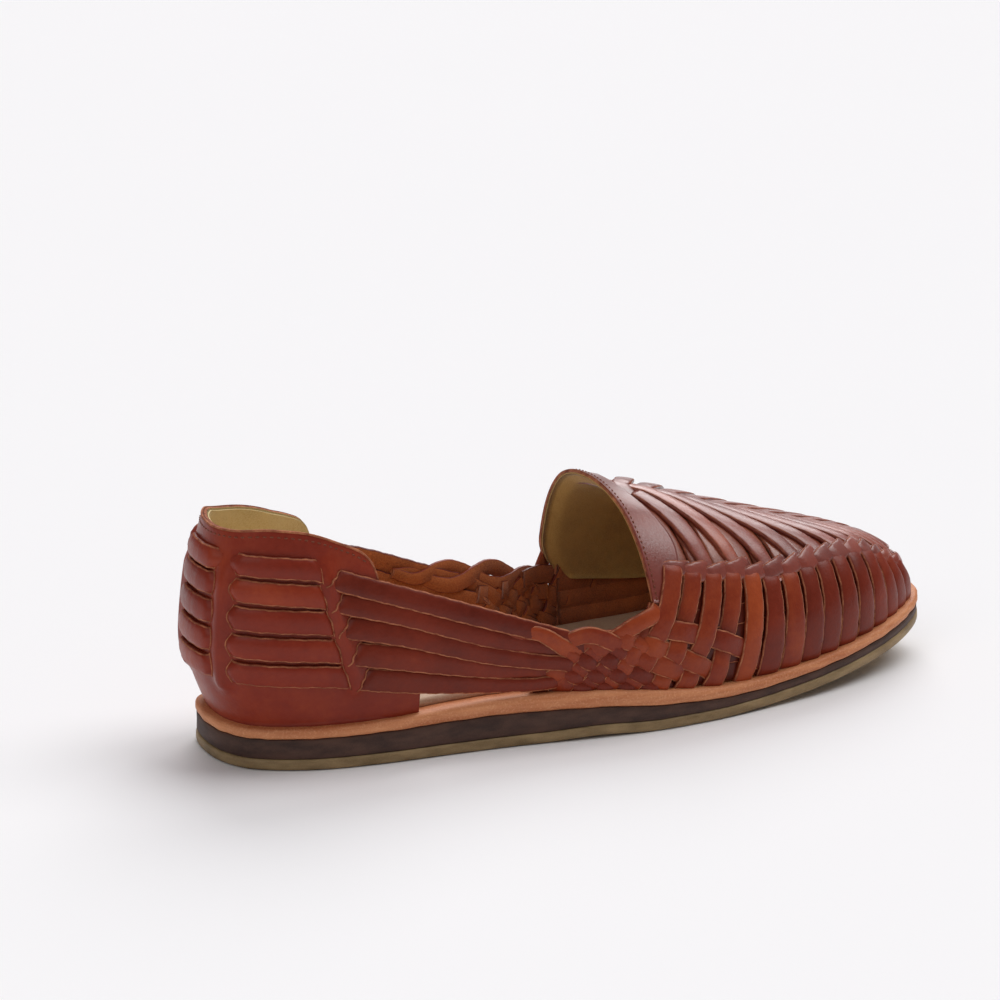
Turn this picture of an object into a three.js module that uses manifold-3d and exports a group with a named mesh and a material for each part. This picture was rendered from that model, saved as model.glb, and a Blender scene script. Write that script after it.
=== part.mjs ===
// Right-foot huarache sandal: a woven leather upper on a leather welt, a dark
// midsole and a gum outsole. Millimetres, +X to the toe, +Y to the inner
// (medial) side, +Z up. Heights and stations are worked out from the heel back.
import * as THREE from 'three';
import { mergeVertices } from 'three/addons/utils/BufferGeometryUtils.js';
import Module from 'manifold-3d';

const wasm = await Module();
wasm.setup();

// ---------------------------------------------------------------- dimensions
const LENGTH = 290;            // outsole, heel back to toe tip
const GAP = 0.3;               // clearance kept between two pieces
const STATIONS = 48;           // cross sections from heel back to toe tip
const GUM = 3.8;               // outsole thickness
const INSOLE = 2.5;            // insole thickness
const TOE_SPRING = 13;         // rise of the sole at the toe tip
const SPRING_START = 174;      // station where the toe spring begins
const SPRING_POWER = 1.7;
const WAIST_LIFT = 0.8;        // rise of the sole between heel and forefoot
const WAIST_FROM = 105;
const WAIST_TO = 150;
const FEATHER_INSET = 6.4;     // sole edge to the inside of the upper
const INSOLE_INSET = 8.4;      // sole edge to the insole's edge
const HEEL_AXIS = 36;          // centre of the round heel
const TOE_AXIS = 255;          // centre of the round toe
const HEEL_BULGE = 9;          // how far the heel back swells past its base
const BULGE_SPREAD = 1.5;      // how fast the heel's swelling dies away round the sides
const SIDE_BULGE = 3;          // the same along the sides
const BULGE_HEIGHT = 28;       // height over the welt of the fullest point
const BULGE_FADE = [230, 270]; // stations over which the swelling dies out at the toe
const SWELL_KEPT_TO = 0.45;    // share of the way out from the ridge where it is at its full
const COUNTER_WALL = [1.2, 3.0];   // inner and outer offset from the last
const VAMP_WALL = [0.6, 2.6];
const VAMP_FROM = 112;         // rear end of the woven wall's sections
const WALL_STEPS = 12;         // grid steps from the welt up to the ridge
const STRAP_THICKNESS = 1.6;
const STRAP_OUTSIDE = 4.1;     // offset of a strap's middle lying over the counter
const STRAP_INSIDE = 0.1;      // the same where it lies behind the counter
const STRAP_JOINED = 1.6;      // the same where it runs into the woven wall
const COUNTER_END = 62;        // station where the straps leave the counter
const WEAVE_START = 119;       // station where the straps enter the woven wall
const STRAP_END = 126;
const BACK_COLUMN = { at: 0.18, half: 0.045 };   // in radians of station angle
const SIDE_COLUMN_HALF = 0.022;
const COLUMN_RAMP = 0.034;
const HIGHEST_RISE = 0.98;     // search limit when a height is looked up on the last
const HALVINGS = 24;
const FAR = 200;               // reach of a cutter past the shoe
const COUNTER_STATIONS = 11;   // sections of the counter on each side
const COUNTER_STEPS = 6;       // grid steps up the counter
const COUNTER_TOP = 92;        // height of the uncut counter
const STRAP_BACK_STEP = 0.06;  // extra section beside the heel back
const STRAP_FRONT_STEPS = 7;   // sections of a strap from the column to the weave
// The slit at the toe tip: sideways place, height over the welt, size, depth.
const PEEP = { side: 2, up: 4.5, width: 9, height: 3.2, depth: 16 };

// Half widths of the outsole on each side of the heel's centre line.
const OUTLINE = [
  { u: 0, lateral: 0, medial: 0 },
  { u: 4, lateral: 15.4, medial: 21.8 },
  { u: 12, lateral: 23.2, medial: 28.6 },
  { u: 28, lateral: 31.0, medial: 32.8 },
  { u: 50, lateral: 35.6, medial: 32.6 },
  { u: 75, lateral: 38.3, medial: 29.8 },
  { u: 100, lateral: 41.6, medial: 27.4 },
  { u: 125, lateral: 46.8, medial: 29.6 },
  { u: 150, lateral: 50.4, medial: 38.0 },
  { u: 175, lateral: 50.2, medial: 45.6 },
  { u: 200, lateral: 47.3, medial: 47.8 },
  { u: 225, lateral: 43.2, medial: 46.0 },
  { u: 245, lateral: 37.9, medial: 40.3 },
  { u: 262, lateral: 31.2, medial: 32.2 },
  { u: 276, lateral: 22.8, medial: 22.6 },
  { u: 285, lateral: 14.4, medial: 13.6 },
  { u: 290, lateral: 0, medial: 0 },
];

// Thickness of the two upper sole layers.
const LAYERS = [
  { u: 0, midsole: 7.0, welt: 3.8 },
  { u: 50, midsole: 7.4, welt: 3.9 },
  { u: 80, midsole: 8.1, welt: 5.2 },
  { u: 105, midsole: 7.9, welt: 5.8 },
  { u: 125, midsole: 6.6, welt: 5.8 },
  { u: 145, midsole: 5.6, welt: 5.5 },
  { u: 165, midsole: 4.3, welt: 4.6 },
  { u: 195, midsole: 3.1, welt: 3.8 },
  { u: 290, midsole: 3.0, welt: 3.7 },
];

// The last: height of its ridge, sideways place of the ridge, squareness of
// the section on each side. Behind the throat the ridge is the closed cone
// that the collar is cut from.
const LAST = [
  { u: -10, ridge: 109, spine: -2, lateral: 2.6, medial: 2.6 },
  { u: 12, ridge: 109, spine: -2, lateral: 2.35, medial: 2.3 },
  { u: 36, ridge: 110, spine: -2, lateral: 2.1, medial: 1.9 },
  { u: 90, ridge: 102, spine: 0, lateral: 2.3, medial: 2.3 },
  { u: 125, ridge: 89, spine: 3, lateral: 2.2, medial: 2.5 },
  { u: 150, ridge: 78.5, spine: 5, lateral: 2.0, medial: 2.6 },
  { u: 175, ridge: 71, spine: 5, lateral: 2.1, medial: 2.5 },
  { u: 200, ridge: 62.5, spine: 4, lateral: 2.25, medial: 2.4 },
  { u: 225, ridge: 55, spine: 2, lateral: 2.4, medial: 2.4 },
  { u: 255, ridge: 46.5, spine: 0, lateral: 2.7, medial: 2.7 },
  { u: 295, ridge: 34.5, spine: 0, lateral: 2.8, medial: 2.8 },
];

// Five straps around the heel: height of the middle line over the floor at
// each of STRAP_PLACES, the width at both ends, and the station of the
// slanting side column.
const STRAP_PLACES = { back: 0, side: 26, column: 38, quarter: 56, waist: 90, front: 116 };
const STRAPS = [
  { back: 72.8, side: 69.5, column: 64.3, quarter: 58, waist: 45.9, front: 36.9,
    heelWidth: 7.2, frontWidth: 4.4, columnAt: 30.3 },
  { back: 64.6, side: 60.8, column: 57.2, quarter: 51.8, waist: 39.7, front: 32.4,
    heelWidth: 7.2, frontWidth: 4.1, columnAt: 31.2 },
  { back: 55.1, side: 52, column: 49.3, quarter: 45, waist: 33.9, front: 28.2,
    heelWidth: 7.2, frontWidth: 3.8, columnAt: 33.2 },
  { back: 45.6, side: 42.6, column: 40.5, quarter: 37, waist: 28.8, front: 24.6,
    heelWidth: 7.2, frontWidth: 3.3, columnAt: 35.8 },
  { back: 36.8, side: 33.9, column: 32, quarter: 29, waist: 23.4, front: 21.2,
    heelWidth: 7.2, frontWidth: 3.2, columnAt: 38.8 },
];

// Side view of the counter's edge: collar, front corner, lower extension.
const COUNTER_EDGE = [
  { u: -14, z: 82.5 }, { u: 4, z: 84 }, { u: 18, z: 83 }, { u: 30, z: 80 },
  { u: 39.5, z: 77 }, { u: 45, z: 73.5 }, { u: 48, z: 67 }, { u: 50, z: 52 },
  { u: 53, z: 34 }, { u: 54.5, z: 27.5 }, { u: 61.5, z: 25.8 }, { u: 63, z: 24.5 }, { u: 63, z: 0 },
];

// Side view of the woven wall's rear edge, from the welt up to the throat.
const WEAVE_EDGE = [
  { u: WEAVE_START, z: 0 }, { u: WEAVE_START, z: 38 }, { u: 124, z: 40 }, { u: 141, z: 40.5 },
  { u: 148, z: 43 }, { u: 150.5, z: 50 }, { u: 150.5, z: 62 }, { u: 151, z: 72 }, { u: 152, z: 80 },
];

// Plan view of the instep band's front border.
const BAND_BORDER = [
  { v: -43, u: 158 }, { v: -38, u: 163 }, { v: -30, u: 166 }, { v: -20, u: 163 }, { v: -8, u: 159 },
  { v: 5, u: 158 }, { v: 16, u: 161 }, { v: 26, u: 165 }, { v: 33, u: 164 }, { v: 38, u: 159 },
];
const BAND_REAR = 130;         // the band's plan starts behind the throat
const BAND_FOOT = 46;          // height of the band's lower ends

const COLOURS = {
  outsole: { color: 0x8b7548, roughness: 0.75 },
  midsole: { color: 0x3a2b2a, roughness: 0.7 },
  welt: { color: 0xc98a5f, roughness: 0.65 },
  insole: { color: 0xc9ac90, roughness: 0.7 },
  upper: { color: 0x8a3f2e, roughness: 0.45 },
  heel_counter: { color: 0x9a4835, roughness: 0.42 },
  instep_band: { color: 0x94463a, roughness: 0.4 },
};

// ---------------------------------------------------------------- functions
// A smooth curve through one column of a table (cubic Hermite).
function column(table, key, along = 'u') {
  const at = table.map((row) => row[along]);
  const value = table.map((row) => row[key]);
  const last = at.length - 1;
  const slope = value.map((_, k) => {
    const before = Math.max(k - 1, 0);
    const after = Math.min(k + 1, last);
    return (value[after] - value[before]) / (at[after] - at[before]);
  });
  return (x) => {
    let k = 0;
    while (k < last - 1 && x > at[k + 1]) {
      k += 1;
    }
    const step = at[k + 1] - at[k];
    const f = Math.min(Math.max((x - at[k]) / step, 0), 1);
    const g = 1 - f;
    return value[k] * g * g * (1 + 2 * f) + value[k + 1] * f * f * (3 - 2 * f)
      + step * f * g * (slope[k] * g - slope[k + 1] * f);
  };
}

const clamp = THREE.MathUtils.clamp;
const lerp = THREE.MathUtils.lerp;
const smoothstep = THREE.MathUtils.smoothstep;

// Stations are spaced by an angle, 0 at the heel back and PI at the toe tip,
// so that round ends get as many sections as the long sides.
const stationAt = (angle) => (LENGTH / 2) * (1 - Math.cos(angle));
const angleAt = (u) => Math.acos(clamp(1 - (2 * u) / LENGTH, -1, 1));

const OUTLINE_BY_ANGLE = OUTLINE.map((row) => ({ ...row, angle: angleAt(row.u) }));
const halfWidth = {
  lateral: column(OUTLINE_BY_ANGLE, 'lateral', 'angle'),
  medial: column(OUTLINE_BY_ANGLE, 'medial', 'angle'),
};
const SIGN = { lateral: -1, medial: 1 };
const midsoleThickness = column(LAYERS, 'midsole');
const weltThickness = column(LAYERS, 'welt');
const ridgeHeight = column(LAST, 'ridge');
const spine = column(LAST, 'spine');
const squareness = { lateral: column(LAST, 'lateral'), medial: column(LAST, 'medial') };

// Height of the outsole's underside.
function ground(u) {
  const toe = Math.max(0, (u - SPRING_START) / (LENGTH - SPRING_START));
  const waist = clamp((u - WAIST_FROM) / (WAIST_TO - WAIST_FROM), 0, 1);
  return TOE_SPRING * toe ** SPRING_POWER + WAIST_LIFT * Math.sin(Math.PI * waist) ** 2;
}

const gumTop = (u) => ground(u) + GUM;
const midsoleBottom = (u) => gumTop(u) + GAP;
const midsoleTop = (u) => gumTop(u) + midsoleThickness(u);
const weltBottom = (u) => midsoleTop(u) + GAP;
const weltTop = (u) => midsoleTop(u) + weltThickness(u);

// A point on the outline, moved inwards by an inset.
function edge(side, angle, inset) {
  const sign = SIGN[side];
  const step = 1e-3;
  const low = Math.max(angle - step, 0);
  const high = Math.min(angle + step, Math.PI);
  const tangent = new THREE.Vector2(
    stationAt(high) - stationAt(low),
    sign * (halfWidth[side](high) - halfWidth[side](low)),
  ).normalize();
  const inward = new THREE.Vector2(tangent.y, -tangent.x).multiplyScalar(sign * inset);
  const point = new THREE.Vector2(stationAt(angle), sign * halfWidth[side](angle));
  point.add(inward);
  if (angle < step || angle > Math.PI - step) {
    point.y = 0;
  }
  return point;
}

// The last's surface: angle chooses the section, rise goes from 0 at the welt
// to 1 on the ridge.
function lastSurface(side, angle, rise) {
  const foot = edge(side, angle, FEATHER_INSET);
  const axisAt = clamp(foot.x, HEEL_AXIS, TOE_AXIS);
  const axis = new THREE.Vector2(axisAt, spine(axisAt));
  const out = foot.clone().sub(axis);
  const reach = out.length();
  out.divideScalar(reach);
  const power = 2 / squareness[side](foot.x);
  const phi = (rise * Math.PI) / 2;
  const shrink = Math.cos(phi) ** power;
  const climb = Math.sin(phi) ** power;
  const base = weltTop(foot.x) + GAP;
  const backward = Math.max(0, -out.x) ** BULGE_SPREAD;
  const bulge = lerp(SIDE_BULGE, HEEL_BULGE, backward) * (1 - smoothstep(foot.x, ...BULGE_FADE));
  const height = (ridgeHeight(foot.x) - base) * climb;
  const swell = Math.sin((Math.PI / 2) * Math.min(1, height / BULGE_HEIGHT));
  const plan = axis.clone().addScaledVector(out, reach * shrink + bulge * swell * capped(shrink));
  return new THREE.Vector3(plan.x, plan.y, base + (ridgeHeight(plan.x) - base) * climb);
}

// The swelling fades out before the ridge, so that both sides meet there.
function capped(shrink) {
  return Math.min(1, shrink / SWELL_KEPT_TO);
}

// The surface pushed outwards along its normal.
function wallPoint(side, angle, rise, offset) {
  const point = lastSurface(side, angle, rise);
  point.addScaledVector(wallNormal(side, angle, rise, point), offset);
  if (rise === 0) {
    point.z = weltTop(point.x) + GAP;
  }
  return point;
}

function wallNormal(side, angle, rise, point) {
  const step = 2e-3;
  if (rise > 1 - step) {
    const slope = (ridgeHeight(point.x + 1) - ridgeHeight(point.x - 1)) / 2;
    return new THREE.Vector3(-slope, 0, 1).normalize();
  }
  const ahead = lastSurface(side, Math.min(angle + step, Math.PI), rise);
  const behind = lastSurface(side, Math.max(angle - step, 0), rise);
  const above = lastSurface(side, angle, rise + step);
  const below = lastSurface(side, angle, Math.max(rise - step, 0));
  const normal = ahead.sub(behind).cross(above.sub(below)).normalize();
  if (SIGN[side] > 0) {
    normal.negate();
  }
  if (angle < step || angle > Math.PI - step) {
    normal.y = 0;
    normal.normalize();
  }
  return normal;
}

// The rise at which the last's surface reaches a given height.
function riseAt(side, angle, z) {
  let low = 0;
  let high = HIGHEST_RISE;
  for (let k = 0; k < HALVINGS; k += 1) {
    const middle = (low + high) / 2;
    if (lastSurface(side, angle, middle).z < z) {
      low = middle;
    } else {
      high = middle;
    }
  }
  return (low + high) / 2;
}

// ---------------------------------------------------------------- mesh tools
// Collects triangles, leaves out those without area and welds the corners.
class Skin {
  constructor() {
    this.corners = [];
  }

  triangle(a, b, c) {
    const area = b.clone().sub(a).cross(c.clone().sub(a)).length();
    if (area > 1e-6) {
      this.corners.push(a, b, c);
    }
  }

  quad(a, b, c, d) {
    this.triangle(a, b, c);
    this.triangle(a, c, d);
  }

  geometry() {
    const geometry = new THREE.BufferGeometry().setFromPoints(this.corners);
    return mergeVertices(geometry, 1e-3);
  }
}

function toSolid(geometry) {
  const bare = geometry.clone();
  bare.deleteAttribute('normal');
  bare.deleteAttribute('uv');
  const welded = bare.index ? mergeVertices(bare.toNonIndexed(), 1e-3) : mergeVertices(bare, 1e-3);
  return new wasm.Manifold(new wasm.Mesh({
    numProp: 3,
    vertProperties: new Float32Array(welded.attributes.position.array),
    triVerts: new Uint32Array(welded.index.array),
  }));
}

function toGeometry(solid) {
  const mesh = solid.getMesh();
  const geometry = new THREE.BufferGeometry();
  geometry.setAttribute('position', new THREE.BufferAttribute(new Float32Array(mesh.vertProperties), 3));
  geometry.setIndex(new THREE.BufferAttribute(new Uint32Array(mesh.triVerts), 1));
  return geometry;
}

// A solid between two matching grids of points, an outer and an inner skin.
// An end that folds shut on itself, such as the toe, takes no cap.
function sheetSolid(outer, inner, capFirst, capLast) {
  const skin = new Skin();
  const rows = outer.length - 1;
  const columns = outer[0].length - 1;
  for (let i = 0; i < rows; i += 1) {
    for (let j = 0; j < columns; j += 1) {
      skin.quad(outer[i][j], outer[i + 1][j], outer[i + 1][j + 1], outer[i][j + 1]);
      skin.quad(inner[i][j], inner[i][j + 1], inner[i + 1][j + 1], inner[i + 1][j]);
    }
    skin.quad(inner[i][0], inner[i + 1][0], outer[i + 1][0], outer[i][0]);
    skin.quad(outer[i][columns], outer[i + 1][columns], inner[i + 1][columns], inner[i][columns]);
  }
  for (let j = 0; j < columns; j += 1) {
    if (capFirst) {
      skin.quad(outer[0][j], outer[0][j + 1], inner[0][j + 1], inner[0][j]);
    }
    if (capLast) {
      skin.quad(outer[rows][j], inner[rows][j], inner[rows][j + 1], outer[rows][j + 1]);
    }
  }
  return toSolid(skin.geometry());
}

// A prism from a closed outline in the side view (u, z) or the plan view (u, v).
function prism(outline, from, to, view) {
  const shape = new THREE.Shape(outline.map(([a, b]) => new THREE.Vector2(a, b)));
  const geometry = new THREE.ExtrudeGeometry(shape, { depth: to - from, bevelEnabled: false });
  if (view === 'side') {
    geometry.rotateX(Math.PI / 2);
    geometry.translate(0, to, 0);
  } else {
    geometry.translate(0, 0, from);
  }
  return toSolid(geometry);
}

// ---------------------------------------------------------------- sole
// A flat layer of the sole. Each ring has an inset from the outline and a
// height that varies along the shoe; the first and last are capped.
function slab(rings) {
  const skin = new Skin();
  const ringPoints = rings.map((ring) => {
    const sides = {};
    for (const side of ['lateral', 'medial']) {
      sides[side] = [];
      for (let i = 0; i <= STATIONS; i += 1) {
        const point = edge(side, (Math.PI * i) / STATIONS, ring.inset);
        sides[side].push(new THREE.Vector3(point.x, point.y, ring.height(point.x)));
      }
    }
    return sides;
  });
  const first = ringPoints[0];
  const last = ringPoints[ringPoints.length - 1];
  for (let i = 0; i < STATIONS; i += 1) {
    skin.quad(last.lateral[i], last.lateral[i + 1], last.medial[i + 1], last.medial[i]);
    skin.quad(first.lateral[i], first.medial[i], first.medial[i + 1], first.lateral[i + 1]);
    for (let k = 0; k < rings.length - 1; k += 1) {
      const low = ringPoints[k];
      const high = ringPoints[k + 1];
      skin.quad(low.lateral[i], low.lateral[i + 1], high.lateral[i + 1], high.lateral[i]);
      skin.quad(low.medial[i], high.medial[i], high.medial[i + 1], low.medial[i + 1]);
    }
  }
  return toSolid(skin.geometry());
}

// The height a given fraction of the way up through a layer.
const between = (low, high, fraction) => (u) => lerp(low(u), high(u), fraction);

function makeOutsole() {
  return slab([
    { inset: 0.5, height: ground },
    { inset: 0, height: between(ground, gumTop, 0.2) },
    { inset: 0, height: gumTop },
  ]);
}

function makeMidsole() {
  return slab([
    { inset: 0.3, height: midsoleBottom },
    { inset: 0.5, height: midsoleTop },
  ]);
}

function makeWelt() {
  return slab([
    { inset: 0.7, height: weltBottom },
    { inset: 0, height: between(weltBottom, weltTop, 0.3) },
    { inset: 0.2, height: between(weltBottom, weltTop, 0.7) },
    { inset: 1.1, height: weltTop },
  ]);
}

function makeInsole() {
  const bottom = (u) => weltTop(u) + GAP;
  const top = (u) => bottom(u) + INSOLE;
  return slab([
    { inset: INSOLE_INSET, height: bottom },
    { inset: INSOLE_INSET, height: between(bottom, top, 0.7) },
    { inset: INSOLE_INSET + 0.8, height: top },
  ]);
}

// ---------------------------------------------------------------- vamp
// The front of the last as a shell, from a station near the waist round the
// toe, with columns from the lateral welt over the ridge to the medial welt.
function vampShell([innerOffset, outerOffset], firstStation) {
  const first = Math.floor((angleAt(firstStation) * STATIONS) / Math.PI);
  const grid = (offset) => {
    const rows = [];
    for (let i = first; i <= STATIONS; i += 1) {
      const row = [];
      for (let j = 0; j <= 2 * WALL_STEPS; j += 1) {
        const side = j <= WALL_STEPS ? 'lateral' : 'medial';
        const rise = 1 - Math.abs(j - WALL_STEPS) / WALL_STEPS;
        row.push(wallPoint(side, (Math.PI * i) / STATIONS, rise, offset));
      }
      rows.push(row);
    }
    return rows;
  };
  return sheetSolid(grid(outerOffset), grid(innerOffset), true, false);
}

// Everything behind the woven wall's rear edge and the throat.
function throatCutter() {
  const outline = WEAVE_EDGE.map((row) => [row.u, row.z]);
  outline[0][1] = -FAR;
  const top = WEAVE_EDGE[WEAVE_EDGE.length - 1];
  return prism([...outline, [top.u, FAR], [-FAR, FAR], [-FAR, -FAR]], -FAR, FAR, 'side');
}

// The plan of the instep band, grown by a clearance.
function bandPrism(clearance) {
  const border = BAND_BORDER.map((row) => [row.u + clearance, row.v]);
  border[0][1] -= clearance;
  border[border.length - 1][1] += clearance;
  const firstV = border[0][1];
  const lastV = border[border.length - 1][1];
  const foot = BAND_FOOT - clearance;
  return prism([...border, [BAND_REAR, lastV], [BAND_REAR, firstV]], foot, FAR, 'plan');
}

// The slit between the strap ends at the very tip of the toe.
function toePeep() {
  const tip = edge('lateral', Math.PI, FEATHER_INSET);
  const middle = weltTop(tip.x) + PEEP.up;
  const steps = 10;
  const outline = [];
  for (let k = 0; k < steps; k += 1) {
    const turn = (2 * Math.PI * k) / steps;
    outline.push([PEEP.side + (PEEP.width / 2) * Math.cos(turn), middle + (PEEP.height / 2) * Math.sin(turn)]);
  }
  const shape = new THREE.Shape(outline.map(([a, b]) => new THREE.Vector2(a, b)));
  const geometry = new THREE.ExtrudeGeometry(shape, { depth: PEEP.depth, bevelEnabled: false });
  geometry.rotateX(Math.PI / 2);
  geometry.rotateZ(Math.PI / 2);
  geometry.translate(tip.x - PEEP.depth / 2, 0, 0);
  return toSolid(geometry);
}

// ---------------------------------------------------------------- heel
// Places round the heel from the medial side over the heel back to the
// lateral side. Each has a side and a station angle.
function heelPath(angles) {
  const medial = [...angles].reverse().filter((angle) => angle > 0);
  return [
    ...medial.map((angle) => ({ side: 'medial', angle })),
    ...angles.map((angle) => ({ side: 'lateral', angle })),
  ];
}

function counterShell([innerOffset, outerOffset]) {
  const endAngle = angleAt(COUNTER_EDGE[COUNTER_EDGE.length - 1].u + 4);
  const angles = [];
  for (let i = 0; i <= COUNTER_STATIONS; i += 1) {
    angles.push((endAngle * i) / COUNTER_STATIONS);
  }
  const grid = (offset) => heelPath(angles).map(({ side, angle }) => {
    const topRise = riseAt(side, angle, COUNTER_TOP);
    const row = [];
    for (let j = 0; j <= COUNTER_STEPS; j += 1) {
      row.push(wallPoint(side, angle, (topRise * j) / COUNTER_STEPS, offset));
    }
    return row;
  });
  return sheetSolid(grid(outerOffset), grid(innerOffset), true, true);
}

// Everything above and in front of the counter's edge.
function collarCutter() {
  const outline = COUNTER_EDGE.map((row) => [row.u, row.z]);
  const first = outline[0];
  const last = outline[outline.length - 1];
  outline.reverse();
  return prism([[first[0], FAR], [FAR, FAR], [FAR, -FAR], [last[0], -FAR], ...outline], -FAR, FAR, 'side');
}

// A strap's height, width and offset at a station.
function strapSection(strap, angle) {
  const u = stationAt(angle);
  const columnAngle = angleAt(strap.columnAt);
  const inBack = ramp(Math.abs(angle - BACK_COLUMN.at), BACK_COLUMN.half);
  const inSide = ramp(Math.abs(angle - columnAngle), SIDE_COLUMN_HALF);
  const inside = Math.max(inBack, inSide);
  const joined = smoothstep(u, COUNTER_END, WEAVE_START);
  const outside = lerp(STRAP_OUTSIDE, STRAP_JOINED, joined);
  return {
    height: strap.line(u),
    half: lerp(strap.heelWidth, strap.frontWidth, smoothstep(u, strap.columnAt, WEAVE_START)) / 2,
    offset: lerp(outside, STRAP_INSIDE, inside),
  };
}

// 1 inside a column, 0 past its ramp, and a soft step between.
const ramp = (distance, half) => 1 - smoothstep(distance, half, half + COLUMN_RAMP);

function strapAngles(strap) {
  const columnAngle = angleAt(strap.columnAt);
  const angles = [0, STRAP_BACK_STEP];
  for (const [at, half] of [[BACK_COLUMN.at, BACK_COLUMN.half], [columnAngle, SIDE_COLUMN_HALF]]) {
    for (const step of [half + COLUMN_RAMP, half]) {
      angles.push(at - step, at + step);
    }
  }
  angles.push((BACK_COLUMN.at + columnAngle) / 2);
  const front = angleAt(STRAP_END);
  const start = columnAngle + SIDE_COLUMN_HALF + COLUMN_RAMP;
  for (let k = 1; k <= STRAP_FRONT_STEPS; k += 1) {
    angles.push(lerp(start, front, k / STRAP_FRONT_STEPS));
  }
  return angles.sort((a, b) => a - b);
}

// A strap as a flat band lying along the last, grown by a clearance.
function strapSolid(strap, clearance) {
  const heights = Object.entries(STRAP_PLACES).map(([place, u]) => ({ u, z: strap[place] }));
  const line = column(heights, 'z');
  const shaped = { ...strap, line };
  const thickness = STRAP_THICKNESS / 2 + clearance;
  const grid = (direction) => heelPath(strapAngles(strap)).map(({ side, angle }) => {
    const section = strapSection(shaped, angle);
    const half = section.half + clearance;
    return [-half, half].map((shift) => {
      const rise = riseAt(side, angle, section.height + shift);
      return wallPoint(side, angle, rise, section.offset + direction * thickness);
    });
  });
  return sheetSolid(grid(1), grid(-1), true, true);
}

function makeHeelCounter() {
  let counter = counterShell(COUNTER_WALL).subtract(collarCutter());
  for (const strap of STRAPS) {
    counter = counter.subtract(strapSolid(strap, GAP));
  }
  return counter;
}

function makeUpper() {
  let upper = vampShell(VAMP_WALL, VAMP_FROM);
  upper = upper.subtract(throatCutter());
  upper = upper.subtract(bandPrism(GAP));
  upper = upper.subtract(toePeep());
  for (const strap of STRAPS) {
    upper = upper.add(strapSolid(strap, 0));
  }
  return upper;
}

function makeInstepBand() {
  return vampShell(VAMP_WALL, BAND_REAR).subtract(throatCutter()).intersect(bandPrism(0));
}

// ---------------------------------------------------------------- assembly
function largestPiece(solid) {
  const pieces = solid.decompose();
  pieces.sort((a, b) => b.volume() - a.volume());
  return pieces[0];
}

function addPiece(group, name, solid) {
  const material = new THREE.MeshStandardMaterial({ ...COLOURS[name], metalness: 0 });
  const mesh = new THREE.Mesh(toGeometry(solid), material);
  mesh.name = name;
  group.add(mesh);
}

const sandal = new THREE.Group();
addPiece(sandal, 'outsole', makeOutsole());
addPiece(sandal, 'midsole', makeMidsole());
addPiece(sandal, 'welt', makeWelt());
addPiece(sandal, 'insole', makeInsole());
addPiece(sandal, 'upper', largestPiece(makeUpper()));
addPiece(sandal, 'heel_counter', largestPiece(makeHeelCounter()));
addPiece(sandal, 'instep_band', largestPiece(makeInstepBand()));

// The origin is moved to the middle of the underside.
const box = new THREE.Box3().setFromObject(sandal);
const middle = box.getCenter(new THREE.Vector3());
for (const mesh of sandal.children) {
  mesh.position.set(-middle.x, -middle.y, -box.min.z);
}

export default sandal;
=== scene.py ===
"""Looks for the huarache sandal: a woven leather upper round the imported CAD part.

Lengths in this file are millimetres in the shoe's own frame: u runs from the heel
back to the toe, v to the inner (medial) side, z up. They become metres in the row
frame when a mesh is made.
"""

import math
import random

import bpy
import numpy as np
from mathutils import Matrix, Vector
from mathutils.bvhtree import BVHTree


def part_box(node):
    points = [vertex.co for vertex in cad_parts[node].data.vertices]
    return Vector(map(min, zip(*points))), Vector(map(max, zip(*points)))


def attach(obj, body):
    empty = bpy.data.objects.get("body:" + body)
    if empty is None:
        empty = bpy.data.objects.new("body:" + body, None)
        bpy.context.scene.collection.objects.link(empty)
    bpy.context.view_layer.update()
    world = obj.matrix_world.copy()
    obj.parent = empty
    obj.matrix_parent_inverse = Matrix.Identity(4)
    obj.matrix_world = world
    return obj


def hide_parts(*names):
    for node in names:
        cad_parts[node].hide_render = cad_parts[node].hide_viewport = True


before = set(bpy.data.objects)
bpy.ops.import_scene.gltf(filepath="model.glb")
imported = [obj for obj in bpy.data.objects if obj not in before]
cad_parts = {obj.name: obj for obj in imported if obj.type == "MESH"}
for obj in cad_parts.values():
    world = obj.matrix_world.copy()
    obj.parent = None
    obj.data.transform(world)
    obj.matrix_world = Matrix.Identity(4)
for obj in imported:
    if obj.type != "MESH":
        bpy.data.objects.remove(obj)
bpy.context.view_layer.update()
random.seed(7)

MM = 0.001
SIDES = ("lateral", "medial")
SIGN = {"lateral": -1, "medial": 1}

# ------------------------------------------------------------ the shoe's shape
LENGTH = 290
GAP = 0.3                      # from the welt up to the last
GUM = 3.8                      # thickness of the gum rubber
INSOLE = 2.5
TOE_SPRING = 13                # how far the toe turns up
SPRING_START = 174
SPRING_POWER = 1.7
WAIST_LIFT = 0.8
WAIST = (105, 150)
FEATHER_INSET = 6.4            # from the sole's outline in to the foot of the last
HEEL_AXIS = 36
TOE_AXIS = 255
HEEL_BULGE = 9
BULGE_SPREAD = 1.5
SIDE_BULGE = 3
BULGE_HEIGHT = 28
BULGE_FADE = (230, 270)
SWELL_KEPT_TO = 0.45

# u, half width on the lateral side, half width on the medial side
OUTLINE = [
    (0, 0, 0), (4, 15.4, 21.8), (12, 23.2, 28.6), (28, 31.0, 32.8), (50, 35.6, 32.6),
    (75, 38.3, 29.8), (100, 41.6, 27.4), (125, 46.8, 29.6), (150, 50.4, 38.0),
    (175, 50.2, 45.6), (200, 47.3, 47.8), (225, 43.2, 46.0), (245, 37.9, 40.3),
    (262, 31.2, 32.2), (276, 22.8, 22.6), (285, 14.4, 13.6), (290, 0, 0),
]
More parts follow.
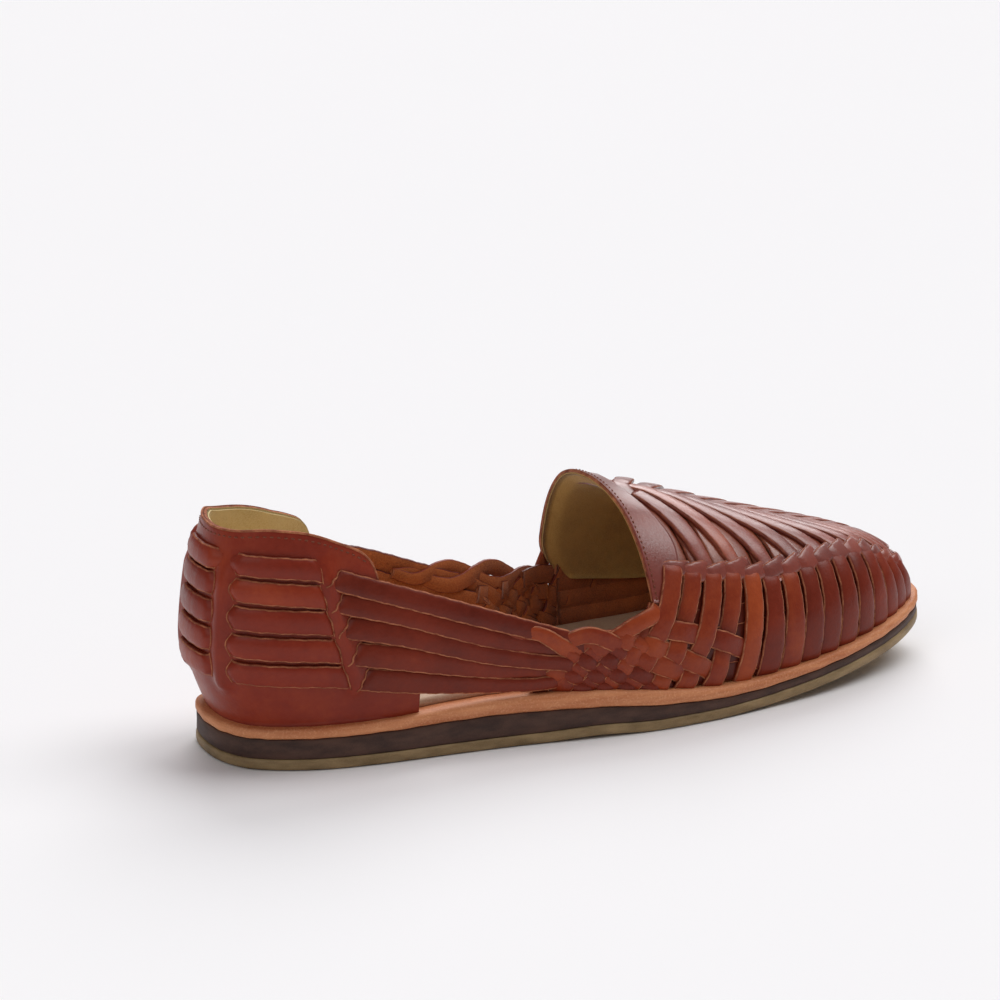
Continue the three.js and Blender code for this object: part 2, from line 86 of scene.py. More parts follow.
# u, midsole thickness, welt thickness
LAYERS = [
    (0, 7.0, 3.8), (50, 7.4, 3.9), (80, 8.1, 5.2), (105, 7.9, 5.8), (125, 6.6, 5.8),
    (145, 5.6, 5.5), (165, 4.3, 4.6), (195, 3.1, 3.8), (290, 3.0, 3.7),
]
# u, ridge height, ridge's v, squareness on the lateral and medial sides
LAST = [
    (-10, 109, -2, 2.6, 2.6), (12, 109, -2, 2.35, 2.3), (36, 110, -2, 2.1, 1.9),
    (90, 102, 0, 2.3, 2.3), (125, 89, 3, 2.2, 2.5), (150, 78.5, 5, 2.0, 2.6),
    (175, 71, 5, 2.1, 2.5), (200, 62.5, 4, 2.25, 2.4), (225, 55, 2, 2.4, 2.4),
    (255, 46.5, 0, 2.7, 2.7), (295, 34.5, 0, 2.8, 2.8),
]
# Five straps round the heel: height of the middle line at each place, and the
# station where the strap crosses the slanting column on the heel's side.
STRAP_PLACES = (0, 26, 38, 56, 90, 116)
STRAPS = [
    ((72.8, 69.5, 64.3, 58, 45.9, 36.9), 30.3),
    ((64.6, 60.8, 57.2, 51.8, 39.7, 32.4), 31.2),
    ((55.1, 52, 49.3, 45, 33.9, 28.2), 33.2),
    ((45.6, 42.6, 40.5, 37, 28.8, 24.6), 35.8),
    ((36.8, 33.9, 32, 29, 23.4, 21.2), 38.8),
]
# side view of the counter's edge: u, z
COUNTER_EDGE = [
    (-14, 82.5), (4, 84), (18, 83), (30, 80), (39.5, 77), (45, 73.5), (48, 67),
    (50, 52), (53, 34), (54.5, 27.5), (61.5, 25.8), (63, 24.5),
]
# plan view of the instep band's front border: v, u
BAND_BORDER = [
    (-47, 151), (-44.5, 153), (-42, 158), (-38, 163), (-30, 166), (-20, 163), (-8, 159),
    (5, 158), (16, 161), (26, 165), (33, 164), (37, 160), (40, 154), (42, 151),
]
BACK_COLUMN = 0.18             # section angle of the upright column near the heel's back


def clamp(x, low=0.0, high=1.0):
    return min(max(x, low), high)


def lerp(a, b, f):
    return a + (b - a) * f


def smooth(x, low=0.0, high=1.0):
    f = clamp((x - low) / (high - low))
    return f * f * (3 - 2 * f)


def hermite(keys, t):
    """A smooth value through (place, value) keys. The value may be a Vector."""
    i = 0
    last_key = len(keys) - 1
    while i < last_key - 1 and t > keys[i + 1][0]:
        i += 1

    def slope(k):
        a = keys[max(k - 1, 0)]
        b = keys[min(k + 1, last_key)]
        return (b[1] - a[1]) / (b[0] - a[0])

    step = keys[i + 1][0] - keys[i][0]
    f = clamp((t - keys[i][0]) / step)
    g = 1 - f
    return (keys[i][1] * (g * g * (1 + 2 * f)) + keys[i + 1][1] * (f * f * (3 - 2 * f))
            + (slope(i) * g - slope(i + 1) * f) * (step * f * g))


def curve(rows, k):
    """A smooth function through column k of a table, over its first column."""
    keys = [(row[0], row[k]) for row in rows]
    return lambda x: hermite(keys, x)


def station_at(angle):
    return LENGTH / 2 * (1 - math.cos(angle))


def angle_at(u):
    return math.acos(clamp(1 - 2 * u / LENGTH, -1, 1))


by_angle = [(angle_at(row[0]),) + row[1:] for row in OUTLINE]
half_width = {"lateral": curve(by_angle, 1), "medial": curve(by_angle, 2)}
midsole_thickness = curve(LAYERS, 1)
welt_thickness = curve(LAYERS, 2)
ridge_height = curve(LAST, 1)
spine = curve(LAST, 2)
squareness = {"lateral": curve(LAST, 3), "medial": curve(LAST, 4)}
collar_height = curve(COUNTER_EDGE, 1)
band_border = curve(BAND_BORDER, 1)


def ground(u):
    toe = max(0, (u - SPRING_START) / (LENGTH - SPRING_START))
    waist = clamp((u - WAIST[0]) / (WAIST[1] - WAIST[0]))
    return TOE_SPRING * toe ** SPRING_POWER + WAIST_LIFT * math.sin(math.pi * waist) ** 2


def gum_top(u):
    return ground(u) + GUM


def midsole_top(u):
    return gum_top(u) + midsole_thickness(u)


def welt_top(u):
    return midsole_top(u) + welt_thickness(u)


def edge(side, angle, inset):
    """A point on the sole's outline, moved inwards."""
    sign = SIGN[side]
    step = 1e-3
    low = max(angle - step, 0)
    high = min(angle + step, math.pi)
    along = Vector((station_at(high) - station_at(low),
                    sign * (half_width[side](high) - half_width[side](low)))).normalized()
    point = Vector((station_at(angle), sign * half_width[side](angle)))
    point += Vector((along.y, -along.x)) * sign * inset
    if angle < step or angle > math.pi - step:
        point.y = 0
    return point


def last_surface(side, angle, rise):
    """The last: angle chooses the section, rise goes from 0 at the welt to 1."""
    foot = edge(side, angle, FEATHER_INSET)
    axis_at = clamp(foot.x, HEEL_AXIS, TOE_AXIS)
    axis = Vector((axis_at, spine(axis_at)))
    out = foot - axis
    reach = out.length
    out /= reach
    power = 2 / squareness[side](foot.x)
    phi = rise * math.pi / 2
    shrink = max(math.cos(phi), 0) ** power
    climb = math.sin(phi) ** power
    base = welt_top(foot.x) + GAP
    backward = max(0, -out.x) ** BULGE_SPREAD
    bulge = lerp(SIDE_BULGE, HEEL_BULGE, backward) * (1 - smooth(foot.x, *BULGE_FADE))
    height = (ridge_height(foot.x) - base) * climb
    swell = math.sin(math.pi / 2 * min(1, height / BULGE_HEIGHT))
    plan = axis + out * (reach * shrink + bulge * swell * min(1, shrink / SWELL_KEPT_TO))
    return Vector((plan.x, plan.y, base + (ridge_height(plan.x) - base) * climb))


class Last:
    """The last as a fine mesh: places on it, and the surface nearest to a point."""

    STATIONS = 150
    RISES = 50
    SKY = 200                  # height that rays are cast down from
    FALLBACK = 40              # height to search from when a ray misses

    def __init__(self):
        rows = []
        for i in range(self.STATIONS + 1):
            angle = math.pi * i / self.STATIONS
            row = []
            for j in range(-self.RISES, self.RISES + 1):
                side = "lateral" if j <= 0 else "medial"
                row.append(last_surface(side, angle, 1 - abs(j) / self.RISES))
            rows.append(row)
        grid = np.array(rows)
        across = np.gradient(grid, axis=1)
        along = np.gradient(grid, axis=0)
        normal = np.cross(along, across)
        length = np.linalg.norm(normal, axis=2, keepdims=True)
        normal /= np.maximum(length, 1e-9)
        normal[0] = normal[1]
        normal[-1] = normal[-2]
        wide = 2 * self.RISES + 1
        self.points = [Vector(p) for p in grid.reshape(-1, 3)]
        self.normals = [Vector(n) for n in normal.reshape(-1, 3)]
        self.triangles = []
        for i in range(self.STATIONS):
            for j in range(wide - 1):
                a = i * wide + j
                b, c, d = a + 1, a + wide + 1, a + wide
                self.triangles += [(a, b, c), (a, c, d)]
        self.tree = BVHTree.FromPolygons(self.points, self.triangles, all_triangles=True)

    def smooth_normal(self, place, index):
        a, b, c = (self.points[k] for k in self.triangles[index])
        na, nb, nc = (self.normals[k] for k in self.triangles[index])
        wa = (b - place).cross(c - place).length
        wb = (c - place).cross(a - place).length
        wc = (a - place).cross(b - place).length
        return (na * wa + nb * wb + nc * wc).normalized()

    def nearest(self, point):
        place, _, index, _ = self.tree.find_nearest(point)
        return place, self.smooth_normal(place, index)

    def from_above(self, u, v):
        place = self.tree.ray_cast(Vector((u, v, self.SKY)), Vector((0, 0, -1)))[0]
        if place is None:
            return self.nearest(Vector((u, v, self.FALLBACK)))[0]
        return place


last = Last()


def halve(low, high, turns, is_low):
    """The value between low and high where is_low stops being true."""
    for _ in range(turns):
        middle = (low + high) / 2
        if is_low(middle):
            low = middle
        else:
            high = middle
    return (low + high) / 2


def foot_angle(side, u):
    """The section whose foot stands at station u."""
    return halve(0.0, math.pi, 22, lambda angle: edge(side, angle, FEATHER_INSET).x < u)


def rise_at(side, angle, z):
    """The rise at which a section reaches height z."""
    return halve(0.0, 0.98, 18, lambda rise: last_surface(side, angle, rise).z < z)


def at_height(side, angle, z):
    return last_surface(side, angle, rise_at(side, angle, z))


def wall(side, u, z):
    """The place on a side wall at station u and height z."""
    angle = foot_angle(side, u)
    if z <= welt_top(u) + GAP + 0.01:
        foot = last_surface(side, angle, 0)
        return Vector((foot.x, foot.y, z))
    return at_height(side, angle, z)


# ------------------------------------------------------------ mesh making
outsole_low, outsole_high = (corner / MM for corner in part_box("outsole"))
wide_angles = [math.pi * k / 400 for k in range(401)]
widest = {side: max(half_width[side](a) for a in wide_angles) for side in SIDES}
SHIFT = Vector((
    outsole_low.x,
    (outsole_low.y + outsole_high.y) / 2 - (widest["medial"] - widest["lateral"]) / 2,
    0,
))


class Build:
    """Collects faces for one piece. Each corner also has a wear-and-shade colour: red the strip's
    tone, green the nearness to an edge (burnish and painted shade), blue the depth (dust and
    painted shade)."""

    def __init__(self):
        self.points = []
        self.wear_and_shade = []
        self.faces = []
        self.kinds = []

    def add(self, point, wear_and_shade=(0.5, 0, 0)):
        self.points.append(point)
        self.wear_and_shade.append(wear_and_shade)
        return len(self.points) - 1

    def face(self, corners, kind=0):
        self.faces.append(corners)
        self.kinds.append(kind)

    def loft(self, rings, kinds, closed=True):
        """Joins rings of corner numbers. kinds has a material for each segment."""
        for low, high in zip(rings, rings[1:]):
            count = len(low)
            for k in range(count if closed else count - 1):
                n = (k + 1) % count
                self.face((low[k], low[n], high[n], high[k]), kinds[k])

    def sheet(self, front, back, kinds):
        """Joins two like grids of corner numbers into a closed sheet. kinds are
        the materials of the front, the rims and the back."""
        wide = len(front[0]) - 1
        self.loft(front, [kinds[0]] * wide, closed=False)
        self.loft([row[::-1] for row in back], [kinds[2]] * wide, closed=False)
        for a, b, c, d in zip(front, front[1:], back[1:], back):
            self.face((d[0], c[0], b[0], a[0]), kinds[1])
            self.face((a[-1], b[-1], c[-1], d[-1]), kinds[1])
        for a, b in ((front[0], back[0]), (back[-1], front[-1])):
            for k in range(wide):
                self.face((a[k], a[k + 1], b[k + 1], b[k]), kinds[1])

    def piece(self, name, materials, slot, replaced=None):
        mesh = bpy.data.meshes.new(name)
        points = [((p + SHIFT) * MM)[:] for p in self.points]
        mesh.from_pydata(points, [], self.faces)
        mesh.validate()
        for material in materials:
            mesh.materials.append(material)
        mesh.polygons.foreach_set("material_index", self.kinds)
        mesh.polygons.foreach_set("use_smooth", [True] * len(mesh.polygons))
        layer = mesh.color_attributes.new("wear_and_shade", "FLOAT_COLOR", "POINT")
        flat = []
        for tone, rim, depth in self.wear_and_shade:
            flat += [tone, rim, depth, 1]
        layer.data.foreach_set("color", flat)
        mesh.update()
        piece = bpy.data.objects.new(name, mesh)
        bpy.context.scene.collection.objects.link(piece)
        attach(piece, "root")
        if replaced:
            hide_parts(replaced)
        return piece


# ------------------------------------------------------------ ribbons
STEP = 1.25                    # spacing of a ribbon's sections
THICK = 1.4                    # strip thickness
CROWN = 0.35                   # how far a strip's middle stands over its edges
TUCK = 0.3                     # a strip that goes this far below the last keeps its own height
WAVER = (0.025, 0.9)           # a strip's width varies by this share, at this rate
RIPPLE = (0.015, 2.3)          # and by this finer share, at this rate
# These two set the depth that darkens a strip as dust and painted shade where it lies in a hollow.
OPEN_LIFT = 1.9                # a strip this high isn't in a hollow at all
HOLLOW = 1.6                   # how far below that is the deepest hollow
TOP, RAW, FLESH = 0, 1, 2      # a strip's grain side, cut edge and inner side


def eased(keys, t):
    """A value through (place, value) keys that is level at every key."""
    if t <= keys[0][0]:
        return keys[0][1]
    for (a, va), (b, vb) in zip(keys, keys[1:]):
        if t <= b:
            return lerp(va, vb, smooth(t, a, b))
    return keys[-1][1]


def spread(places):
    """Distances along a row of points."""
    total = 0
    result = [0]
    for a, b in zip(places, places[1:]):
        total += max((b - a).length, 1e-3)
        result.append(total)
    return result


class Strand:
    """One strip's middle line over the last, with its width and lift along it."""

    def __init__(self, places, widths, tone, flat=()):
        self.places = places
        self.flat = flat
        self.at = spread(places)
        self.length = self.at[-1]
        steps = len(widths) - 1
        self.width_keys = [(self.length * k / steps, w) for k, w in enumerate(widths)]
        self.lift_keys = []
        self.tone = tone
        self.phase = random.random() * 10

    def lift(self, t):
        return eased(self.lift_keys, t)

    def lift_range(self, *keys):
        """Sets lifts at shares of the length."""
        self.lift_keys = [(share * self.length, value) for share, value in keys]

    def level(self, value):
        """Sets one lift for the whole length."""
        self.lift_keys = [(0, value)]


def section(half, thick, crown):
    """A strip's cross section: (across, up, kind of the next face)."""
    soft = min(0.45, half * 0.3)
    side = [
        (-half + 0.2, -thick / 2), (-half, -thick / 2 + 0.25), (-half, thick / 2 - 0.35),
        (-half + soft, thick / 2), (-half * 0.66, thick / 2 + crown * 0.62),
        (-half * 0.24, thick / 2 + crown * 0.96),
    ]
    points = side + [(-x, z) for x, z in reversed(side)]
    kinds = [TOP, TOP, RAW, TOP, TOP, TOP, TOP, TOP, RAW, TOP, TOP, FLESH]
    return [(x, z, kind) for (x, z), kind in zip(points, kinds)]


def ribbon(build, strand, thick=THICK, crown=CROWN, roll=0.0, step=STEP, dive=None, free=False):
    """Lofts a strip along a strand. roll turns its section, dive(t, across) adds to
    its lift, and a free strip stays at its own places instead of on the last."""
    count = max(4, int(strand.length / step))
    keys = list(zip(strand.at, strand.places))
    base = []
    for k in range(count + 1):
        t = strand.length * k / count
        point = hermite(keys, t)
        if free:
            place, normal = point, last.nearest(point)[1]
        else:
            place, normal = last.nearest(point)
            if point.z < place.z - TUCK:
                place.z = point.z
        base.append((t, place, normal))
    middle = [place + normal * strand.lift(t) for t, place, normal in base]
    rings = []
    frames = []
    for k, (t, place, normal) in enumerate(base):
        along = (middle[min(k + 1, count)] - middle[max(k - 1, 0)]).normalized()
        across = normal.cross(along).normalized()
        up = along.cross(across).normalized()
        if roll:
            across, up = (across * math.cos(roll) + up * math.sin(roll),
                          up * math.cos(roll) - across * math.sin(roll))
        half = hermite(strand.width_keys, t) / 2
        waver = WAVER[0] * math.sin(WAVER[1] * t + strand.phase)
        half *= 1 + waver + RIPPLE[0] * math.sin(RIPPLE[1] * t)
        # depth darkens the colour as dust and painted shade where the strip lies low.
        depth = clamp((OPEN_LIFT - strand.lift(t)) / HOLLOW)
        ring = []
        for x, z, _ in section(half, thick, crown):
            extra = dive(t, x / half) if dive else 0
            point = middle[k] + across * x + up * z + normal * extra
            # rim darkens the strip towards its edges: burnish and painted shade.
            rim = abs(x / half) ** 4
            ring.append(build.add(point, (strand.tone, rim, clamp(depth - extra / 3))))
        rings.append(ring)
        frames.append((t, place, normal, across, half))
    kinds = [kind for _, _, kind in section(1, 1, 0)]
    build.loft(rings, kinds)
    build.face(tuple(rings[0]), RAW)
    build.face(tuple(reversed(rings[-1])), RAW)
    return frames


def crossing(a, b):
    """Where two flat lines cross: the distance along each strand, or None."""
    for i, (p, q) in enumerate(zip(a.flat, a.flat[1:])):
        for j, (r, s) in enumerate(zip(b.flat, b.flat[1:])):
            d = (q[0] - p[0], q[1] - p[1])
            e = (s[0] - r[0], s[1] - r[1])
            area = d[0] * e[1] - d[1] * e[0]
            if abs(area) < 1e-9:
                continue
            w = (r[0] - p[0], r[1] - p[1])
            f = (w[0] * e[1] - w[1] * e[0]) / area
            g = (w[0] * d[1] - w[1] * d[0]) / area
            if 0 <= f <= 1 and 0 <= g <= 1:
                return (lerp(a.at[i], a.at[i + 1], f), lerp(b.at[j], b.at[j + 1], g))
    return None


def interlace(first, second):
    """Sets the lifts of two families of strips that pass over and under each other."""
    for i, a in enumerate(first):
        for j, b in enumerate(second):
            hit = crossing(a, b)
            if hit:
                swing = WEAVE_SWING if (i + j) % 2 == 0 else -WEAVE_SWING
                a.lift_keys.append((hit[0], WEAVE_LIFT + swing))
                b.lift_keys.append((hit[1], WEAVE_LIFT - swing))
    for strand in first + second:
        strand.lift_keys.sort()


def ends(strand, first, final):
    """Adds lifts at a strand's two ends."""
    strand.lift_keys.insert(0, (0, first))
    strand.lift_keys.append((strand.length, final))


def wall_strand(side, line, widths, tone):
    return Strand([wall(side, u, z) for u, z in line], widths, tone, line)


def top_strand(line, widths, tone):
    return Strand([last.from_above(u, v) for u, v in line], widths, tone, line)


# ------------------------------------------------------------ materials
def linear(colour):
    """An sRGB colour, 0 to 255, as the linear colour that shaders use."""
    shares = [c / 255 for c in colour]
    return [c / 12.92 if c <= 0.04045 else ((c + 0.055) / 1.055) ** 2.4 for c in shares] + [1]


class Shader:
    """A short way to write a material's nodes."""

    def __init__(self, name, roughness, specular):
        self.material = bpy.data.materials.new(name)
        self.material.use_nodes = True
        self.nodes = self.material.node_tree.nodes
        self.links = self.material.node_tree.links
        self.surface = self.nodes["Principled BSDF"]
        self.place = self.nodes.new("ShaderNodeTexCoord").outputs["Object"]
        self.set("Roughness", roughness)
        self.set("Specular IOR Level", specular)

    def fill(self, socket, value):
        """Gives an input a constant, or joins it to another node's output."""
        if isinstance(value, bpy.types.NodeSocket):
            self.links.new(value, socket)
        else:
            socket.default_value = value

    def set(self, name, value):
        self.fill(self.surface.inputs[name], value)

    def node(self, kind, inputs):
        """A new node, with its named inputs filled."""
        node = self.nodes.new("ShaderNode" + kind)
        for name, value in inputs.items():
            self.fill(node.inputs[name], value)
        return node

    def noise(self, scale, detail, rough, stretch=None):
        place = self.place
        if stretch:
            place = self.node("Mapping", {"Vector": place, "Scale": stretch}).outputs["Vector"]
        inputs = {"Vector": place, "Scale": scale, "Detail": detail, "Roughness": rough}
        return self.node("TexNoise", inputs).outputs["Fac"]

    def cells(self, scale):
        return self.node("TexVoronoi", {"Vector": self.place, "Scale": scale}).outputs["Distance"]

    def wear_and_shade(self):
        """The wear-and-shade colour's tone, nearness to an edge, and depth; the last two drive
        painted shade as well as burnish and dust.
        """
        attribute = self.node("Attribute", {})
        attribute.attribute_name = "wear_and_shade"
        split = self.node("SeparateColor", {"Color": attribute.outputs["Color"]})
        return split.outputs["Red"], split.outputs["Green"], split.outputs["Blue"]

    def between(self, value, low, high, to_low=0.0, to_high=1.0):
        inputs = {"Value": value, "From Min": low, "From Max": high,
                  "To Min": to_low, "To Max": to_high}
        return self.node("MapRange", inputs).outputs["Result"]

    def mix(self, factor, a, b):
        """Goes from colour a to colour b. Each is an sRGB colour or another node's."""
        node = self.node("Mix", {})
        node.data_type = "RGBA"
        sockets = [s for s in node.inputs if s.enabled]
        for value, socket in zip((factor, a, b), sockets):
            self.fill(socket, linear(value) if isinstance(value, tuple) else value)
        return [s for s in node.outputs if s.enabled][0]

    def add_up(self, a, b, share):
        """a plus a share of b."""
        node = self.node("Math", {})
        node.operation = "MULTIPLY_ADD"
        for socket, value in zip(node.inputs, (b, share, a)):
            self.fill(socket, value)
        return node.outputs["Value"]

    def colour(self, value):
        self.set("Base Color", value)

    def rough(self, value):
        self.set("Roughness", value)

    def bump(self, height, strength, distance):
        inputs = {"Height": height, "Strength": strength, "Distance": distance}
        self.set("Normal", self.node("Bump", inputs).outputs["Normal"])


# Colour of dust and painted shade in a strip's hollows.
HOLLOW_DUST_AND_SHADE = (52, 20, 14)
# Colour of burnish and painted shade at a strip's edges.
RIM_BURNISH_AND_SHADE = (84, 34, 26)


def leather(name, dark, base, light, roughness, grain=1.0, specular=0.22, polish=0.06):
    """Polished leather: patina in broad patches, mottling and grain, with dust and painted shade
    darkening the hollows and burnish and painted shade darkening the strip edges.
    """
    s = Shader(name, roughness, specular)
    s.set("Coat Weight", polish)
    s.set("Coat Roughness", 0.25)
    tone, rim, depth = s.wear_and_shade()
    patch = s.noise(55, 3, 0.5)
    mottle = s.noise(420, 5, 0.6)
    cloud = s.add_up(s.between(tone, 0, 1, 0, 0.55), patch, 0.45)
    blended = s.add_up(cloud, mottle, 0.22)
    cool = s.mix(s.between(blended, 0.25, 0.62), dark, base)
    warm = s.mix(s.between(blended, 0.62, 1.0), cool, light)
    # Low-lying strips are darkened here: dust and painted shade in the hollows.
    hollow = s.mix(s.between(depth, 0, 1, 0, 0.6), warm, HOLLOW_DUST_AND_SHADE)
    # Strip edges are darkened here: burnish and painted shade.
    s.colour(s.mix(s.between(rim, 0.3, 1, 0, 0.35), hollow, RIM_BURNISH_AND_SHADE))
    scuffs = s.add_up(mottle, patch, 0.6)
    s.rough(s.between(scuffs, 0.5, 1.1, roughness - 0.08, roughness + 0.12))
    pores = s.add_up(s.noise(1500, 3, 0.6), s.cells(900), 0.5)
    s.bump(s.add_up(pores, s.noise(260, 4, 0.6), 1.6), 0.35 * grain, 0.00022)
    return s.material


def raw_edge(name, base, light):
    """The pale cut edge of a strip, browner where it has been stained."""
    s = Shader(name, 0.75, 0.25)
    stain = s.noise(300, 4, 0.6)
    fibres = s.noise(2600, 4, 0.7)
    s.colour(s.mix(s.between(s.add_up(stain, fibres, 0.35), 0.45, 0.85), base, light))
    s.bump(fibres, 0.5, 0.0002)
    return s.material


def suede(name, dark, base, light):
    """Napped leather: fine fibres and soft brushed patches."""
    s = Shader(name, 0.92, 0.15)
    patch = s.noise(70, 4, 0.6)
    nap = s.noise(1900, 5, 0.75)
    first = s.mix(s.between(patch, 0.3, 0.7), dark, base)
    s.colour(s.mix(s.between(nap, 0.35, 0.8), first, light))
    s.set("Sheen Weight", 0.25)
    s.set("Sheen Roughness", 0.5)
    s.bump(nap, 0.6, 0.0003)
    return s.material


def sole_leather(name, dark, base, light):
    """Natural, undyed leather: level streaks of colour and fine specks."""
    s = Shader(name, 0.55, 0.4)
    streak = s.noise(120, 5, 0.6, (0.25, 0.25, 3.0))
    speck = s.noise(1300, 4, 0.7)
    first = s.mix(s.between(streak, 0.35, 0.68), dark, base)
    s.colour(s.mix(s.between(speck, 0.5, 0.85), first, light))
    s.rough(s.between(streak, 0.3, 0.7, 0.48, 0.66))
    s.bump(s.add_up(speck, streak, 1.2), 0.4, 0.00025)
    return s.material


def rubber(name, dark, base, roughness, grit):
    """Rubber with soft clouds of colour and a gritty surface."""
    s = Shader(name, roughness, 0.35)
    cloud = s.noise(90, 4, 0.55, (1, 1, 3.0))
    fine = s.noise(2200, 3, 0.6)
    s.colour(s.mix(s.between(s.add_up(cloud, fine, 0.3), 0.45, 0.8), dark, base))
    s.bump(fine, grit, 0.0002)
    return s.material


def thread_material():
    s = Shader("waxed_thread", 0.6, 0.3)
    twist = s.noise(3000, 2, 0.5)
    s.colour(s.mix(s.between(twist, 0.3, 0.7), (98, 44, 29), (146, 82, 56)))
    s.bump(twist, 0.4, 0.0001)
    return s.material


def floor_material():
    s = Shader("pale_floor", 0.9, 0.1)
    s.colour(s.mix(s.noise(2, 2, 0.5), (247, 246, 248), (248, 247, 249)))
    return s.material


UPPER = leather("upper_leather", (88, 26, 14), (130, 45, 24), (182, 82, 38), 0.38)
COUNTER = leather("counter_leather", (98, 29, 17), (138, 46, 27), (176, 74, 38), 0.36, 0.8)
BAND = leather("band_leather", (96, 34, 25), (130, 52, 38), (160, 76, 50), 0.36, 0.8, 0.6, 0.6)
# A glossier, lighter copy of the upper leather for the up-facing top strips, knots and toe strips:
# the gloss is the burnished finish, the lighter colours are painted highlight.
BURNISHED_LIT = leather("burnished_lit_leather", (102, 33, 20), (146, 55, 33), (190, 92, 48),
                    0.42, 1.0, 0.7, 0.7)
EDGE = raw_edge("cut_edge", (116, 52, 33), (192, 120, 84))
DARK_EDGE = raw_edge("stained_edge", (100, 40, 27), (164, 92, 64))
FLESH_SIDE = suede("flesh_side", (124, 60, 29), (184, 96, 48), (208, 124, 70))
# A much paler copy of the band's lining suede for the lining inside the heel, which faces the
# light: its paleness is painted light.
LIT_HEEL_SUEDE = suede("lit_heel_lining", (212, 184, 124), (236, 210, 150), (246, 228, 176))
BAND_SUEDE = suede("band_lining", (178, 136, 70), (208, 166, 92), (222, 184, 116))
WELT = sole_leather("welt_leather", (192, 112, 68), (226, 152, 104), (240, 180, 136))
FOOTBED = sole_leather("insole_leather", (180, 150, 126), (204, 178, 154), (218, 198, 178))
MIDSOLE = rubber("dark_midsole", (62, 42, 35), (90, 63, 52), 0.6, 0.5)
GUM_RUBBER = rubber("gum_rubber", (124, 101, 68), (164, 137, 98), 0.5, 0.4)
THREAD = thread_material()
STRIP = [UPPER, EDGE, FLESH_SIDE]
# For the up-facing strips: the burnished leather whose lighter colours are painted highlight, with
# darker stained cut edges.
DARK_STRIP = [BURNISHED_LIT, DARK_EDGE, FLESH_SIDE]
CUT_EDGES = [EDGE, EDGE, EDGE]


# ------------------------------------------------------------ sole
SOLE_STEPS = 130               # sections along each side of a sole layer
RIPPLES = (61, 37)             # waves round half of a rough-cut edge


def slab(name, low, high, rings, material, slot, replaced, wobble=0.0):
    """A layer of the sole between two height functions. Each ring has an inset, a
    share of the way up through the layer, and a height to add."""
    build = Build()
    count = SOLE_STEPS
    loops = []
    for inset, share, add in rings:
        loop = []
        for side, order in (("lateral", range(count)), ("medial", range(count, 0, -1))):
            for i in order:
                angle = math.pi * i / count
                waves = math.sin(angle * RIPPLES[0]) + math.sin(angle * RIPPLES[1] + 2)
                ripple = wobble * waves / 2
                point = edge(side, angle, inset + ripple)
                height = lerp(low(point.x), high(point.x), share) + add
                loop.append(build.add(Vector((point.x, point.y, height + ripple * 0.5))))
        loops.append(loop)
    build.loft(loops, [0] * (2 * count))
    for loop, flip in ((loops[0], True), (loops[-1], False)):
        for i in range(count):
            far = (2 * count - i) % (2 * count)
            corners = [loop[i], loop[i + 1], loop[2 * count - i - 1], loop[far]]
            corners = list(dict.fromkeys(corners))
            if len(corners) > 2:
                build.face(tuple(reversed(corners)) if flip else tuple(corners))
    return build.piece(name, [material], slot, replaced)


def make_sole():
    slab("sole_gum", ground, gum_top, [
        (1.0, 0, 0), (0.25, 0.08, 0), (0, 0.3, 0), (0.1, 0.8, 0), (0.5, 1, 0),
    ], GUM_RUBBER, "gum_rubber", "outsole")
    slab("sole_mid", gum_top, midsole_top, [
        (0.9, 0, 0), (0.35, 0.08, 0), (0.45, 0.5, 0), (0.4, 0.92, 0), (0.9, 1, 0),
    ], MIDSOLE, "dark_midsole", "midsole", 0.05)
    slab("welt_runner", midsole_top, welt_top, [
        (1.1, 0, 0), (0.35, 0.12, 0), (0, 0.35, 0), (0.05, 0.65, 0), (0.45, 0.88, 0),
        (1.2, 1, 0), (4.5, 1, 0.1), (9, 1, 0),
    ], WELT, "welt_leather", "welt", 0.16)
    slab("footbed", welt_top, welt_top, [
        (7.6, 0, 0.1), (7.4, 0, 1.2), (7.9, 0, INSOLE + 0.1), (9.5, 0, INSOLE + 0.4),
        (13, 0, INSOLE + 0.2),
    ], FOOTBED, "insole_leather", "insole")


# ------------------------------------------------------------ heel counter
STRAP_LINES = [curve(list(zip(STRAP_PLACES, heights)), 1) for heights, _ in STRAPS]
COLUMN_REACH = 5.0             # how far a column's padding spreads
COLUMN_PUFF = 2.5              # how far it stands out
PUFF_FADE = (64, 76)           # heights between which it dies away
BACK_COLUMN_HEIGHTS = range(32, 79, 3)
SIDE_COLUMN_HEIGHTS = range(29, 72, 3)
COUNTER_SHEET = (1.2, 3.0)     # inner and outer face of the counter, over the last
COUNTER_LINING = (0.2, 1.1)
COLLAR_DIP = 1.3               # how far the counter's edge dips at the heel's back
FRONT_DIP = 1.2                # and towards its front on the outer side
INNER_SHIFT = 4                # how much further forward it runs on the inner side
LINING_STOP = 62               # station where the heel's lining ends
RIM_STOP = 53.5                # station where the pale rim ends
RIM_ROUND = 0.35               # how far the counter's outer face turns in at its rim


def column_station(z):
    heights = [-heights[2] for heights, _ in STRAPS]
    at = [column_at for _, column_at in STRAPS]
    return float(np.interp(-z, heights, at))


def column_lines():
    """The middle lines of the four padded columns, as points on the last."""
    lines = []
    for side in SIDES:
        lines.append([at_height(side, BACK_COLUMN, z) for z in BACK_COLUMN_HEIGHTS])
        lines.append([at_height(side, angle_at(column_station(z)), z) for z in SIDE_COLUMN_HEIGHTS])
    return lines


COLUMNS = column_lines()


def column_distance(point):
    best = math.inf
    for line in COLUMNS:
        for a, b in zip(line, line[1:]):
            along = b - a
            f = clamp((point - a).dot(along) / along.length_squared)
            best = min(best, (point - a - along * f).length)
    return best


